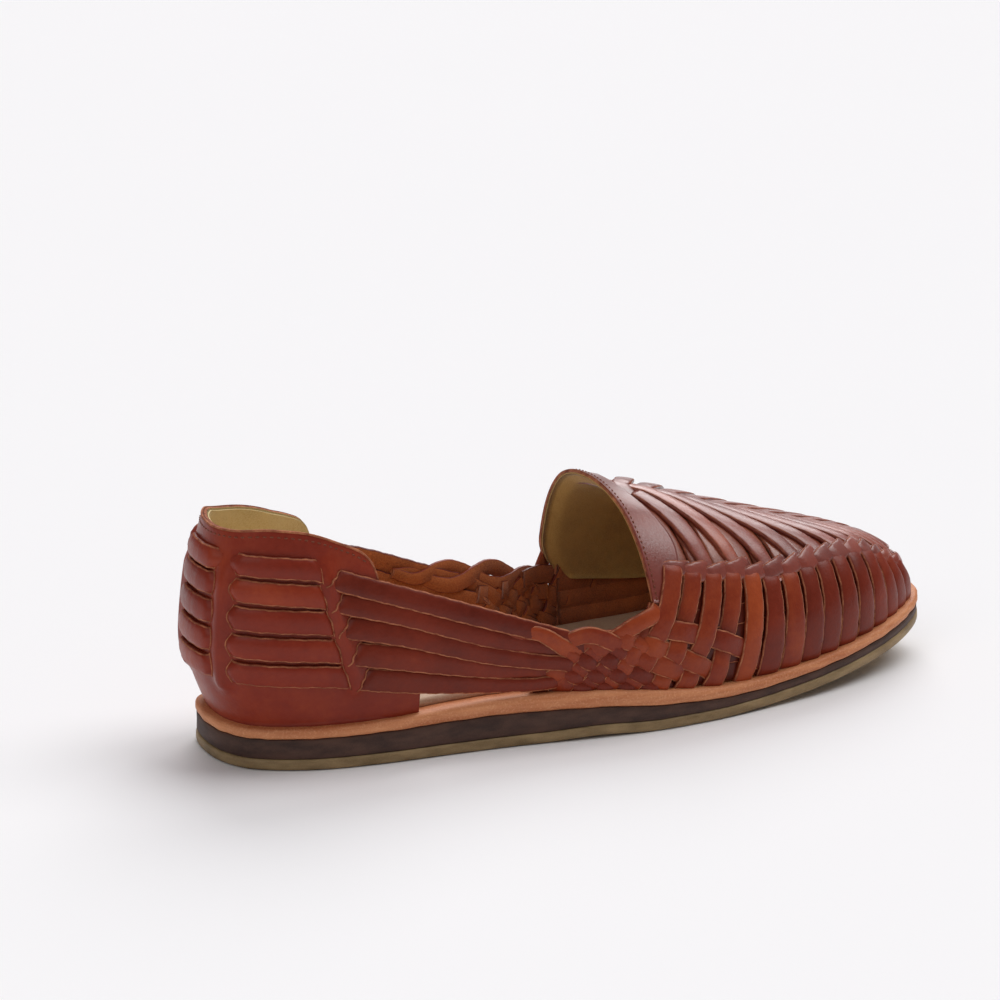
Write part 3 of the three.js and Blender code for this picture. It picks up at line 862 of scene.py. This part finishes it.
def puff(point):
    """How far the counter's leather stands out round a column."""
    fade = 1 - smooth(point.z, *PUFF_FADE)
    return fade * COLUMN_PUFF * smooth(COLUMN_REACH - column_distance(point), 0, COLUMN_REACH)


def counter_stations():
    """Station angles from the medial front round the heel back to the lateral front."""
    half = [angle_at(u) for u in np.linspace(0, 1, 42)[1:] ** 1.6 * 44]
    half += [angle_at(u) for u in np.arange(44.6, 63.1, 0.6)]
    places = [("medial", a) for a in reversed(half)]
    return places + [("lateral", 0.0)] + [("lateral", a) for a in half]


def shell(name, stations, rises, offsets, kinds, materials, slot, replaced=None, puffed=False):
    """A leather sheet between two offsets of the last, closed at its rims.
    rises(side, angle) gives the row of rises from the bottom to the top."""
    build = Build()
    wear_and_shade = (0.55 if puffed else 0.5, 0, 0)
    outer_rows, inner_rows = [], []
    for side, angle in stations:
        outer, inner = [], []
        row = rises(side, angle)
        for k, rise in enumerate(row):
            place = last_surface(side, angle, rise)
            _, normal = last.nearest(place)
            below_rim = smooth(1 - k / (len(row) - 1), 0, 0.02)
            out = offsets[1] + (puff(place) if puffed else 0) - RIM_ROUND * (1 - below_rim)
            outer.append(build.add(place + normal * out, wear_and_shade))
            inner.append(build.add(place + normal * offsets[0], wear_and_shade))
        outer_rows.append(outer)
        inner_rows.append(inner)
    build.sheet(outer_rows, inner_rows, kinds)
    return build.piece(name, materials, slot, replaced)


def collar_top(side, angle):
    """Height of the counter's edge. It is lower and longer on the inner side."""
    u = station_at(angle)
    if side == "lateral":
        back = COLLAR_DIP * (1 - smooth(u, 0, 12))
        return collar_height(u) - back - FRONT_DIP * smooth(u, 22, 44)
    height = collar_height(u - INNER_SHIFT * smooth(u, 5, 35))
    return height - COLLAR_DIP - COLLAR_DIP * smooth(u, 0, 14)


def counter_rises(drop):
    def rises(side, angle):
        top = rise_at(side, angle, collar_top(side, angle) - drop)
        return list(np.linspace(0, top, 44)) + [top + 0.002]
    return rises


def make_counter():
    stations = counter_stations()
    shell("counter_shell", stations, counter_rises(0), COUNTER_SHEET, (0, 1, 2),
          [COUNTER, EDGE, LIT_HEEL_SUEDE], "counter_leather", "heel_counter", puffed=True)
    lined = [(side, angle) for side, angle in stations if station_at(angle) < LINING_STOP]
    shell("counter_lining", lined, counter_rises(0.5), COUNTER_LINING, (0, 0, 0),
          [LIT_HEEL_SUEDE], "lining_suede")


def make_rim():
    """The pale cut edge that shows along the top and front of the counter."""
    build = Build()
    points = []
    for side, angle in counter_stations():
        if station_at(angle) < RIM_STOP:
            place = at_height(side, angle, collar_top(side, angle) - 0.25)
            points.append(place + last.nearest(place)[1] * 2.75)
    bead = Strand(points, [0.6, 0.9, 0.9, 0.6], 0.5)
    bead.level(0)
    ribbon(build, bead, 0.8, 0.1, step=1.0, free=True)
    build.piece("counter_rim", CUT_EDGES, "counter_leather")


STRAP_OVER = 3.9               # lift of a heel strap over the counter
STRAP_BEHIND = 1.7             # and where it has gone in through a slit
DIVE = 3.6                     # length of the strap's bend at a slit
HEEL_WIDTHS = (7.5, 8.0, 8.3, 8.2, 7.9)


def slit_shape(start, lean=0.0, bow=0.0):
    """How far along a strap its slit runs, at a place across it from -1 to 1."""
    return lambda across: start + lean * across + bow * abs(across)


def segment(build, lips, row, places, shapes):
    """A stretch of a heel strap between two columns, with a slit shape for each end."""
    line = STRAP_LINES[row]
    points = [at_height(side, angle, line(station_at(angle))) for side, angle in places]
    strand = Strand(points, [HEEL_WIDTHS[row]] * 2, 0.35 + 0.4 * random.random())
    strand.level(STRAP_BEHIND)
    total = strand.length

    def dive(t, across):
        near = smooth(t - shapes[0](across), 0, DIVE)
        far = smooth(total - t - shapes[1](across), 0, DIVE)
        return (STRAP_OVER - STRAP_BEHIND) * min(near, far)

    frames = ribbon(build, strand, 1.7, 0.7, step=0.7, dive=dive)
    for end in (0, 1):
        slit_lip(lips, frames, shapes[end], end)


def slit_lip(lips, frames, shape, end):
    """The pale cut edge of the slit that a strap goes into."""
    total = frames[-1][0]
    points = []
    for across in (-1.0, -0.6, -0.2, 0.2, 0.6, 1.0):
        reach = shape(across) + DIVE * 0.42
        t = reach if end == 0 else total - reach
        k = clamp(t / total) * (len(frames) - 1)
        _, place, _, sideways, half = frames[int(round(k))]
        surface, out = last.nearest(place + sideways * across * half)
        points.append(surface + out * (COUNTER_SHEET[1] + puff(surface)))
    lip = Strand(points, [0.4, 0.8, 0.4], 0.5)
    lip.level(0)
    ribbon(lips, lip, 0.6, 0.1, step=0.8, free=True)


def make_heel_segments():
    """The straps over the counter, side by side and then round the back, row by row."""
    build, lips = Build(), Build()
    for row, (_, column_at) in enumerate(STRAPS):
        for side in SIDES:
            angles = np.linspace(angle_at(column_at), BACK_COLUMN, 9)
            shapes = slit_shape(1.9, lean=2.3 * SIGN[side]), slit_shape(0.6, bow=2.4)
            segment(build, lips, row, [(side, a) for a in angles], shapes)
        back = [("medial", a) for a in np.linspace(BACK_COLUMN, 0, 6)]
        back += [("lateral", a) for a in np.linspace(0, BACK_COLUMN, 6)[1:]]
        segment(build, lips, row, back, [slit_shape(0.6, bow=2.2)] * 2)
    build.piece("heel_strap_segments", [COUNTER, EDGE, FLESH_SIDE], "upper_leather", "upper")
    lips.piece("slit_edges", CUT_EDGES, "counter_leather")


# ------------------------------------------------------------ woven sides
# Height of the knotted line where the side straps meet the top: u, z
KNOT_LINE = [
    (150, 57), (157, 55.5), (166, 52), (178, 49.4), (190, 47.5), (203, 45.6), (218, 45.2),
    (229, 45.6), (240, 44.8), (250, 43.4), (260, 41.4), (268, 38.6), (274, 35.4), (279, 32.5),
]
knot_height = curve(KNOT_LINE, 1)
# The side straps, from the waist to the toe: station of the top and of the foot.
SIDE_STRAPS = [
    (161.7, 139), (169.6, 150), (178, 161), (186.4, 173), (194.8, 187), (203.4, 198.4),
    (212.2, 208.8), (221, 218.4), (229.4, 227.6), (237.9, 237.6), (246.4, 247.6),
    (254.4, 256.6), (262, 264.4), (269, 271), (275, 276.4),
]
WOVEN_STRAPS = 5               # so many of the first side straps are in the basket weave
# Widths of the heel straps forward of the counter, evenly along each.
FORWARD_WIDTHS = (
    (7.6, 7.4, 7.2, 6.4, 5.8, 6.0), (7.8, 7.6, 7.2, 6.2, 5.6, 6.2), (8.0, 8.2, 7.2, 5.8, 5.4, 6.0),
    (8.2, 8.6, 7.0, 5.6, 5.0, 5.6), (8.0, 8.2, 6.8, 5.4, 5.0, 5.0),
)
INNER_RISE = (2.1, 1.5, 0.9, 0.3, 0)     # the forward straps stand higher on the inner side
# More strips of the basket weave: (u, z). The first run down towards the toe,
# the others up from the welt.
FALLING = [
    [(118, 35.5), (126, 33.6), (136, 30), (148, 25), (160, 19), (164, 15)],
    [(129, 35), (137, 34), (147, 30.6), (158, 25.6), (170, 19.5), (176, 15)],
    [(140, 36.5), (148, 36.6), (157, 34.4), (167, 31.5), (178, 27.6), (189, 22), (198, 15.5)],
]
RISING = [
    [(106, 17.5), (111, 22), (116, 28), (121, 33.5)],
    [(113, 17), (119, 22.5), (125, 29), (130, 34)],
    [(122, 16), (128, 22), (134, 28.5), (141, 35.5)],
    [(130, 15.5), (136, 22), (142, 29), (146, 34)],
]
WEAVE_LIFT = 2.1               # middle lift of the basket weave
WEAVE_SWING = 0.95             # how far over and under it the strips go
SIDE_ROLL = 0.13               # how far a strap turns, so that one edge stands out further


def forward_line(side, row):
    """A heel strap's line from its slit forward and down into the welt: (u, z)."""
    start = STRAPS[row][1] + 0.5
    height = STRAP_LINES[row]
    raised = INNER_RISE[row] if side == "medial" else 0
    line = [(start, height(start))]
    for u in (STRAPS[row][1] + 6, 56, 72, 90, 104, 116):
        line.append((u, height(u) + raised * smooth(u, 46, 68)))
    u, z = line[-1]
    while z > welt_top(u) - 1:
        u += 4
        z -= lerp(2.3, 1.7, row / 4)
        line.append((u, z))
    return line


def side_line(k):
    """A side strap's line from the knots down to the welt: (u, z)."""
    top, foot = SIDE_STRAPS[k]
    high, low = knot_height(top) + 1.0, welt_top(foot) - 1.2
    line = []
    for f in (0, 0.12, 0.3, 0.5, 0.7, 0.88, 1):
        line.append((lerp(top, foot, f ** 1.15), lerp(high, low, f)))
    return line


def side_strap(side, k):
    wide = lerp(7.2, 6.2, smooth(k, 9, 14))
    low = lerp(8.9, 7.4, smooth(k, 8, 14)) if k >= WOVEN_STRAPS else 7.4
    tone = 0.45 + 0.5 * random.random() if k in (0, 2, 4) else 0.2 + 0.5 * random.random()
    return wall_strand(side, side_line(k), [wide, wide, low, low], tone)


def add_forward_strap(build, lips, side, strand):
    """Lofts a forward strap: out through its slit, then down into the weave."""
    first = strand.lift_keys[0][0]
    lean = 1.7 * -SIGN[side]
    strand.lift_keys.insert(0, (first * 0.55, STRAP_BEHIND))
    ends(strand, STRAP_BEHIND, 0.6)

    def dive(t, across):
        start = smooth(t - 1.4 - lean * across, 0, DIVE)
        fade = 1 - smooth(t, first * 0.45, first * 0.98)
        share = lerp(0.45, 1, fade) * (1 - smooth(t, first * 0.9, first))
        return start * (STRAP_OVER - STRAP_BEHIND) * share

    frames = ribbon(build, strand, 1.5, 0.5, dive=dive, roll=SIDE_ROLL * SIGN[side])
    slit_lip(lips, frames, slit_shape(1.4, lean=lean), 0)


def make_side(side):
    """The woven wall of one side: heel straps that run forward, strips crossing
    them in a basket weave at the waist, and upright straps to the toe."""
    forward = []
    for row, widths in enumerate(FORWARD_WIDTHS):
        tone = 0.08 + 0.35 * random.random()
        forward.append(wall_strand(side, forward_line(side, row), widths, tone))
    falling = []
    for line in FALLING:
        tone = 0.4 + 0.4 * random.random()
        falling.append(wall_strand(side, line, [6.4, 7.2, 7.2, 6.4], tone))
    rising = []
    for line in RISING:
        rising.append(wall_strand(side, line, [7.0, 7.0], 0.35 + 0.5 * random.random()))
    straps = [side_strap(side, k) for k in range(len(SIDE_STRAPS))]
    interlace(forward + falling, rising + straps[:WOVEN_STRAPS])
    build, lips = Build(), Build()
    for strand in forward:
        add_forward_strap(build, lips, side, strand)
    for strand in falling:
        ends(strand, 0.4, 1.2)
        ribbon(build, strand, crown=0.4)
    for strand in rising:
        ends(strand, 1.0, 0.4)
        ribbon(build, strand, crown=0.4)
    for k, strand in enumerate(straps):
        if k < WOVEN_STRAPS:
            ends(strand, 2.0, 2.2)
            shoulder = min(3, strand.lift_keys[1][0] * 0.5)
            strand.lift_keys.insert(1, (shoulder, 3.9 if k == 0 else 3.0))
        else:
            strand.lift_range((0, 1.0), (0.14, 2.8), (0.5, 3.1), (0.86, 2.8), (1, 2.0))
        if k == 0:
            strand.lift_keys.insert(2, (strand.lift_keys[2][0] * 0.85, 3.7))
        ribbon(build, strand, 1.6, 0.45, roll=-SIDE_ROLL * SIGN[side])
    build.piece("side_weave_" + side, STRIP, "upper_leather", "upper")
    lips.piece("forward_slit_edges_" + side, CUT_EDGES, "counter_leather")


UNDER_LEVELS = (4.2, 10.8, 17.4, 24.0, 30.0)
UNDER_STATIONS = (158, 172, 186, 200, 214, 228, 240, 250, 260, 268, 275, 280, 283)


def make_under_strips(side):
    """Long strips inside the side straps, from the waist round to the toe."""
    build = Build()
    for level in UNDER_LEVELS:
        line = []
        for u in UNDER_STATIONS:
            height = level * lerp(1, 0.62, smooth(u, 220, 283))
            line.append((u, min(welt_top(u) + height, knot_height(u) - 1)))
        tone = 0.05 + 0.2 * random.random()
        strand = wall_strand(side, line, [7.4, 7.4, 6.6, 4.6], tone)
        strand.level(0.8)
        ribbon(build, strand, 1.2, 0.2, step=2)
    build.piece("under_strips_" + side, STRIP, "upper_leather", "upper")


def make_knots(side):
    """Short slanting loops, one over each gap between two side straps."""
    build = Build()
    tops = [top for top, _ in SIDE_STRAPS]
    gaps = [b - a for a, b in zip(tops, tops[1:])] + [5.5]
    for at, gap in zip(tops, gaps):
        jitter = random.uniform(-0.6, 0.6)
        line = []
        for f in (0, 0.3, 0.6, 1):
            u = at + gap * lerp(-0.5, 1.1, f) + jitter
            line.append((u, knot_height(u) + lerp(-1.2, 1.9, f) + 0.9 * jitter))
        wide = gap * random.uniform(0.7, 0.95)
        widths = [wide * 0.9, wide, wide, wide * 0.95]
        strand = wall_strand(side, line, widths, 0.1 + 0.5 * random.random())
        strand.lift_range((0, 1.7), (0.3, 3.1), (0.6, 3.0), (1, 1.6))
        ribbon(build, strand, 1.4, 0.35, step=0.8, roll=-0.16 * SIGN[side])
    build.piece("knot_line_" + side, DARK_STRIP, "upper_leather", "upper")


# ------------------------------------------------------------ woven top
TOP_COUNT = 13                 # diagonals that start on each side
TOP_PITCH = 9.6                # spacing of the diagonals along the middle
TOP_START = {"lateral": 148.4, "medial": 153.2}
TOP_ENDS = (159.5, 278)        # no top strip goes past these stations
KNOT_SPAN = (150, 279)         # stations that the knotted line runs between


def knot_v(side, u):
    """Sideways place of the knotted line."""
    return wall(side, u, knot_height(u)).y


def top_line(side, centre, limits):
    """A strip over the top: straight across under one side, then forward over
    the other side as far as the knots. Points are (u, v)."""
    other = "medial" if side == "lateral" else "lateral"
    line = []
    for share in (0.98, 0.72, 0.46, 0.22):
        u = centre + 3.0 * share * (1 if centre > 150 else 0)
        line.append((u, limits[other](clamp(u, *KNOT_SPAN)) * share))
    slope = lerp(0.5, 1.9, smooth(centre, 150, 238))
    u, v = centre, 0.0
    while u < 280:
        limit = abs(limits[side](clamp(u, *KNOT_SPAN)))
        line.append((u, SIGN[side] * v))
        if v > limit * 0.95:
            break
        u += 4 * slope * lerp(1.35, 0.55, clamp(v / limit))
        v += 4
    return [(a, b) for a, b in line if TOP_ENDS[0] < a < TOP_ENDS[1]]


def top_lift(side, u, v, limit):
    """A diagonal lies low on the far side, rises over the middle, and sinks at
    the knots and under the instep band."""
    over = smooth(SIGN[side] * v, -5, 3)
    lift = lerp(0.7, 2.6, over) - 0.6 * over * smooth(abs(v) / abs(limit), 0.7, 1)
    return lerp(0.6, lift, smooth(u - band_border(clamp(v, -46, 41)), 0, 5))


def make_top():
    """Diagonal strips over the top of the foot, in two crossing families."""
    limits = {}
    for side in SIDES:
        limits[side] = curve([(u, knot_v(side, u)) for u in range(150, 282, 6)], 1)
    for side in SIDES:
        build = Build()
        for k in range(TOP_COUNT):
            line = top_line(side, TOP_START[side] + TOP_PITCH * k, limits)
            if len(line) < 4:
                continue
            wide = lerp(7.0, 4.8, smooth(k, 4, 11))
            widths = [wide * 1.25, wide * 1.25, wide]
            across = top_strand(line[:6], widths, 0.85 + 0.15 * random.random())
            across.level(0.8)
            ribbon(build, across, 1.3, 0.3)
            if len(line) < 7:
                continue
            widths = [wide * 0.9, wide * 0.95, wide, wide * 0.92, wide * 0.8]
            strand = top_strand(line[3:], widths, 0.2 + 0.5 * random.random())
            for t, (u, v) in zip(strand.at, strand.flat):
                limit = limits[side](clamp(u, *KNOT_SPAN))
                strand.lift_keys.append((t, top_lift(side, u, v, limit)))
            ribbon(build, strand, 1.5, 0.28, roll=-0.08 * SIGN[side])
        build.piece("top_strips_" + side, DARK_STRIP, "upper_leather", "upper")


TOE_ARC = [(262, -15), (268, -11), (272.5, -6), (274, 0), (272.5, 6), (268, 11), (262, 15)]
TOE_STATIONS = (267, 272, 276.5, 280, 282.5)


def make_toe():
    """Two strips round the tip of the toe, above its small opening."""
    build = Build()
    arc = top_strand(TOE_ARC, [7, 9, 9, 7], 0.45)
    arc.lift_range((0, 0.7), (0.5, 1.5), (1, 0.7))
    ribbon(build, arc, 1.4, 0.3)
    places = [wall("lateral", u, knot_height(u) + 0.4) for u in TOE_STATIONS]
    places += [wall("medial", u, knot_height(u) + 0.4) for u in reversed(TOE_STATIONS)]
    rim = Strand(places, [4.6, 5.6, 5.6, 4.6], 0.35)
    rim.lift_range((0, 1.6), (0.5, 2.0), (1, 1.6))
    ribbon(build, rim, 1.4, 0.3)
    build.piece("toe_strips", DARK_STRIP, "upper_leather", "upper")


# ------------------------------------------------------------ toplines
# The twisted binding along the open sides: u, height of its middle line.
TOPLINE = {
    "lateral": [(92, 42), (103, 37.5), (112, 34.8), (122, 34), (132, 33.8), (142, 34.8),
                (150, 40), (154, 46)],
    "medial": [(84, 47.5), (97, 44.5), (106, 43.5), (118, 42), (130, 39.5), (140, 36.5),
               (147, 33.5), (154, 31)],
}
LOOP = {"lateral": 18, "medial": 21}     # distance from one hump to the next
HUMP = {"lateral": 3.5, "medial": 3.0}   # how high a hump stands over the middle line
FIRST_HUMP = 106               # station of one hump, which sets where the others are
LIFT_LAG = 3.5                 # a strand comes outward this far after its hump
TOPLINE_LIFT = (2.5, 1.3)      # middle lift of the binding, and its swing
GROW = 14                      # the twist grows to its full size over this length


def make_toplines():
    """Two strips twisted round each other bind the top edge of each open side."""
    build = Build()
    for side in SIDES:
        height = curve(TOPLINE[side], 1)
        start, stop = TOPLINE[side][0][0], TOPLINE[side][-1][0]
        for turn in (0, 1):

            def wave(u, side=side, turn=turn):
                return math.cos(math.pi * (u - FIRST_HUMP) / LOOP[side] + math.pi * turn)

            line = []
            lifts = []
            for u in np.arange(start, stop, 2.4):
                grow = smooth(u, start, start + GROW)
                line.append((u, height(u) + HUMP[side] * wave(u) * grow))
                lifts.append(TOPLINE_LIFT[0] + TOPLINE_LIFT[1] * wave(u - LIFT_LAG) * grow)
            tone = 0.55 + 0.35 * random.random()
            strand = wall_strand(side, line, [3.6, 5.8, 6.0, 6.0], tone)
            strand.lift_keys = list(zip(strand.at, lifts))
            ribbon(build, strand, 1.5, 0.4)
    build.piece("topline_loops", STRIP, "upper_leather", "upper")


# ------------------------------------------------------------ instep band
THROAT = 150.4                 # station of the band's rear edge
THROAT_ROUND = (48, 0.05)      # height it rounds forward below on the inner side, and how much
BAND_FOOT = {"lateral": 43.8, "medial": 40.0}
BAND_SHEET = (1.9, 3.1)        # inner and outer face of the band, over the last
LINING_FOOT = {"lateral": 44, "medial": 34}
LINING_END = 204               # station, far forward inside the shoe
LINING_SHEET = (1.4, 1.85)
LINING_SINK = 2.4


def throat_edge(side, z):
    """The throat's edge is upright, and rounds forward low on the inner side."""
    below, amount = THROAT_ROUND
    return THROAT + (amount * max(0, below - z) ** 2 if side == "medial" else 0)


def band_grid(inset, front, feet, count_across, count_along):
    """Places over the instep from the lateral foot to the medial foot. Each row
    runs from the throat's edge, inset by some length, to front(v)."""
    rows = []
    for k in range(count_across + 1):
        f = 2 * k / count_across - 1
        side = "lateral" if f <= 0 else "medial"
        foot_rise = rise_at(side, foot_angle(side, 152), feet[side])
        rise = lerp(1, foot_rise, abs(f) ** 0.9)
        probe = last_surface(side, foot_angle(side, 158), rise)
        back = throat_edge(side, probe.z) + inset
        ahead = max(front(probe.y), back + 0.5)
        row = []
        for j in range(count_along + 1):
            u = lerp(back, ahead, j / count_along)
            row.append(last_surface(side, foot_angle(side, u), rise))
        rows.append(row)
    return rows


def sheet_between(build, rows, offset, kinds, sink=0.0):
    """A sheet over a grid of places, between two offsets. It sinks ahead of its
    first edge. kinds are the inner side's, the rims' and the outer side's."""
    outer, inner = [], []
    for row in rows:
        out_row, in_row = [], []
        for j, place in enumerate(row):
            normal = last.nearest(place)[1]
            drop = sink * smooth(j / (len(row) - 1), 0, 0.12)
            out_row.append(build.add(place + normal * (offset[1] - drop)))
            in_row.append(build.add(place + normal * (offset[0] - drop)))
        outer.append(out_row)
        inner.append(in_row)
    build.sheet(inner, outer, kinds)


def make_band():
    """The band's cover, and the lining that shows in the throat and runs on inside."""
    build = Build()
    rows = band_grid(0, band_border, BAND_FOOT, 70, 16)
    sheet_between(build, rows, BAND_SHEET, (2, 1, 0))
    build.piece("instep_band_cover", [BAND, EDGE, BAND_SUEDE], "band_leather", "instep_band")
    lining = Build()
    rows = band_grid(0.3, lambda v: LINING_END, LINING_FOOT, 60, 24)
    sheet_between(lining, rows, LINING_SHEET, (0, 0, 1), LINING_SINK)
    lining.piece("band_lining", [BAND_SUEDE, FLESH_SIDE], "lining_suede")


# ------------------------------------------------------------ stitches
STITCH_RADIUS = 0.26
STITCH_SIDES = 6


def stitch(build, start, end, out):
    """One short round stitch lying on the leather."""
    along = (end - start).normalized()
    across = out.cross(along).normalized()
    rings = []
    for f, size in ((0, 0.4), (0.2, 0.9), (0.5, 1.1), (0.8, 0.9), (1, 0.4)):
        middle = start.lerp(end, f) + out * STITCH_RADIUS * (size - 0.7)
        ring = []
        for k in range(STITCH_SIDES):
            turn = math.tau * k / STITCH_SIDES
            spoke = across * math.cos(turn) + out * math.sin(turn)
            ring.append(build.add(middle + spoke * STITCH_RADIUS * size))
        rings.append(ring)
    build.loft(rings, [0] * STITCH_SIDES)
    build.face(tuple(reversed(rings[0])))
    build.face(tuple(rings[-1]))


def stitch_row(build, places, lift, pitch, length):
    """Stitches along a line of places on the last, lift(place) above it."""
    at = spread(places)
    keys = list(zip(at, places))
    t = 1.0
    while t + length < at[-1]:
        pair = []
        for s in (t, t + length):
            surface, normal = last.nearest(hermite(keys, s))
            pair.append((surface + normal * lift(surface), normal))
        stitch(build, pair[0][0], pair[1][0], (pair[0][1] + pair[1][1]).normalized())
        t += pitch


def make_stitches():
    """A row below the counter's edge, and one beside the throat."""
    build = Build()
    rim = []
    for side, angle in counter_stations()[::3]:
        if station_at(angle) < 46:
            rim.append(at_height(side, angle, collar_top(side, angle) - 2.3))
    stitch_row(build, rim, lambda place: 2.95 + puff(place), 2.2, 1.4)
    throat = [row[0] for row in band_grid(1.7, lambda v: THROAT + 3, BAND_FOOT, 50, 1)]
    stitch_row(build, throat, lambda place: BAND_SHEET[1], 2.0, 1.3)
    build.piece("stitches", [THREAD], "thread")


# ------------------------------------------------------------ stage
FLOOR_SIZE = 80                # metres from the middle to an edge
FLOOR_DROP = 0.0002            # metres below the sole
SUN_ANGLE = 40                 # degrees across, for soft shadows
WARM = (1.0, 0.99, 0.985)
SUNS = [
    ("key", (0.05, 0.3, 1.0), 0.5, WARM),
    ("right", (0.5, -0.08, 0.85), 1.2, WARM),
    ("back", (0.5, 0.7, 0.7), 1.4, (1.0, 1.0, 1.0)),
    ("fill", (-0.8, -0.5, 0.8), 0.45, (1.0, 0.99, 0.98)),
]
CAMERA_AT = (-0.6717, -1.1526, 0.4293)       # metres
CAMERA_AIM = (-0.0121, 0.0297, 0.0684)


def make_floor():
    mesh = bpy.data.meshes.new("floor")
    corners = [(-1, -1, 0), (1, -1, 0), (1, 1, 0), (-1, 1, 0)]
    mesh.from_pydata([Vector(c) * FLOOR_SIZE for c in corners], [], [(0, 1, 2, 3)])
    mesh.materials.append(floor_material())
    floor = bpy.data.objects.new("floor", mesh)
    floor.location.z = -FLOOR_DROP
    bpy.context.scene.collection.objects.link(floor)


def sun(name, direction, strength, colour):
    """A soft, even light from a direction, given as a point that it shines from."""
    data = bpy.data.lights.new(name, "SUN")
    data.energy = strength
    data.angle = math.radians(SUN_ANGLE)
    data.color = colour
    light = bpy.data.objects.new(name, data)
    light.rotation_euler = (-Vector(direction)).to_track_quat("-Z", "Y").to_euler()
    bpy.context.scene.collection.objects.link(light)


def make_stage():
    make_floor()
    world = bpy.data.worlds.new("studio")
    world.use_nodes = True
    background = world.node_tree.nodes["Background"]
    background.inputs["Color"].default_value = (0.975, 0.975, 1.0, 1)
    background.inputs["Strength"].default_value = 0.15
    scene = bpy.context.scene
    scene.world = world
    for name, direction, strength, colour in SUNS:
        sun(name, direction, strength, colour)
    scene.view_settings.view_transform = "Standard"
    scene.view_settings.look = "None"


def make_camera():
    data = bpy.data.cameras.new("camera")
    data.sensor_width = 36
    data.lens = 139.3
    camera = bpy.data.objects.new("camera", data)
    camera.location = CAMERA_AT
    towards = Vector(CAMERA_AIM) - camera.location
    camera.rotation_euler = towards.to_track_quat("-Z", "Y").to_euler()
    bpy.context.scene.collection.objects.link(camera)
    bpy.context.scene.camera = camera


make_camera()
make_stage()
make_sole()
make_counter()
make_rim()
make_heel_segments()
for side in SIDES:
    make_side(side)
    make_under_strips(side)
    make_knots(side)
make_top()
make_toe()
make_toplines()
make_band()
make_stitches()
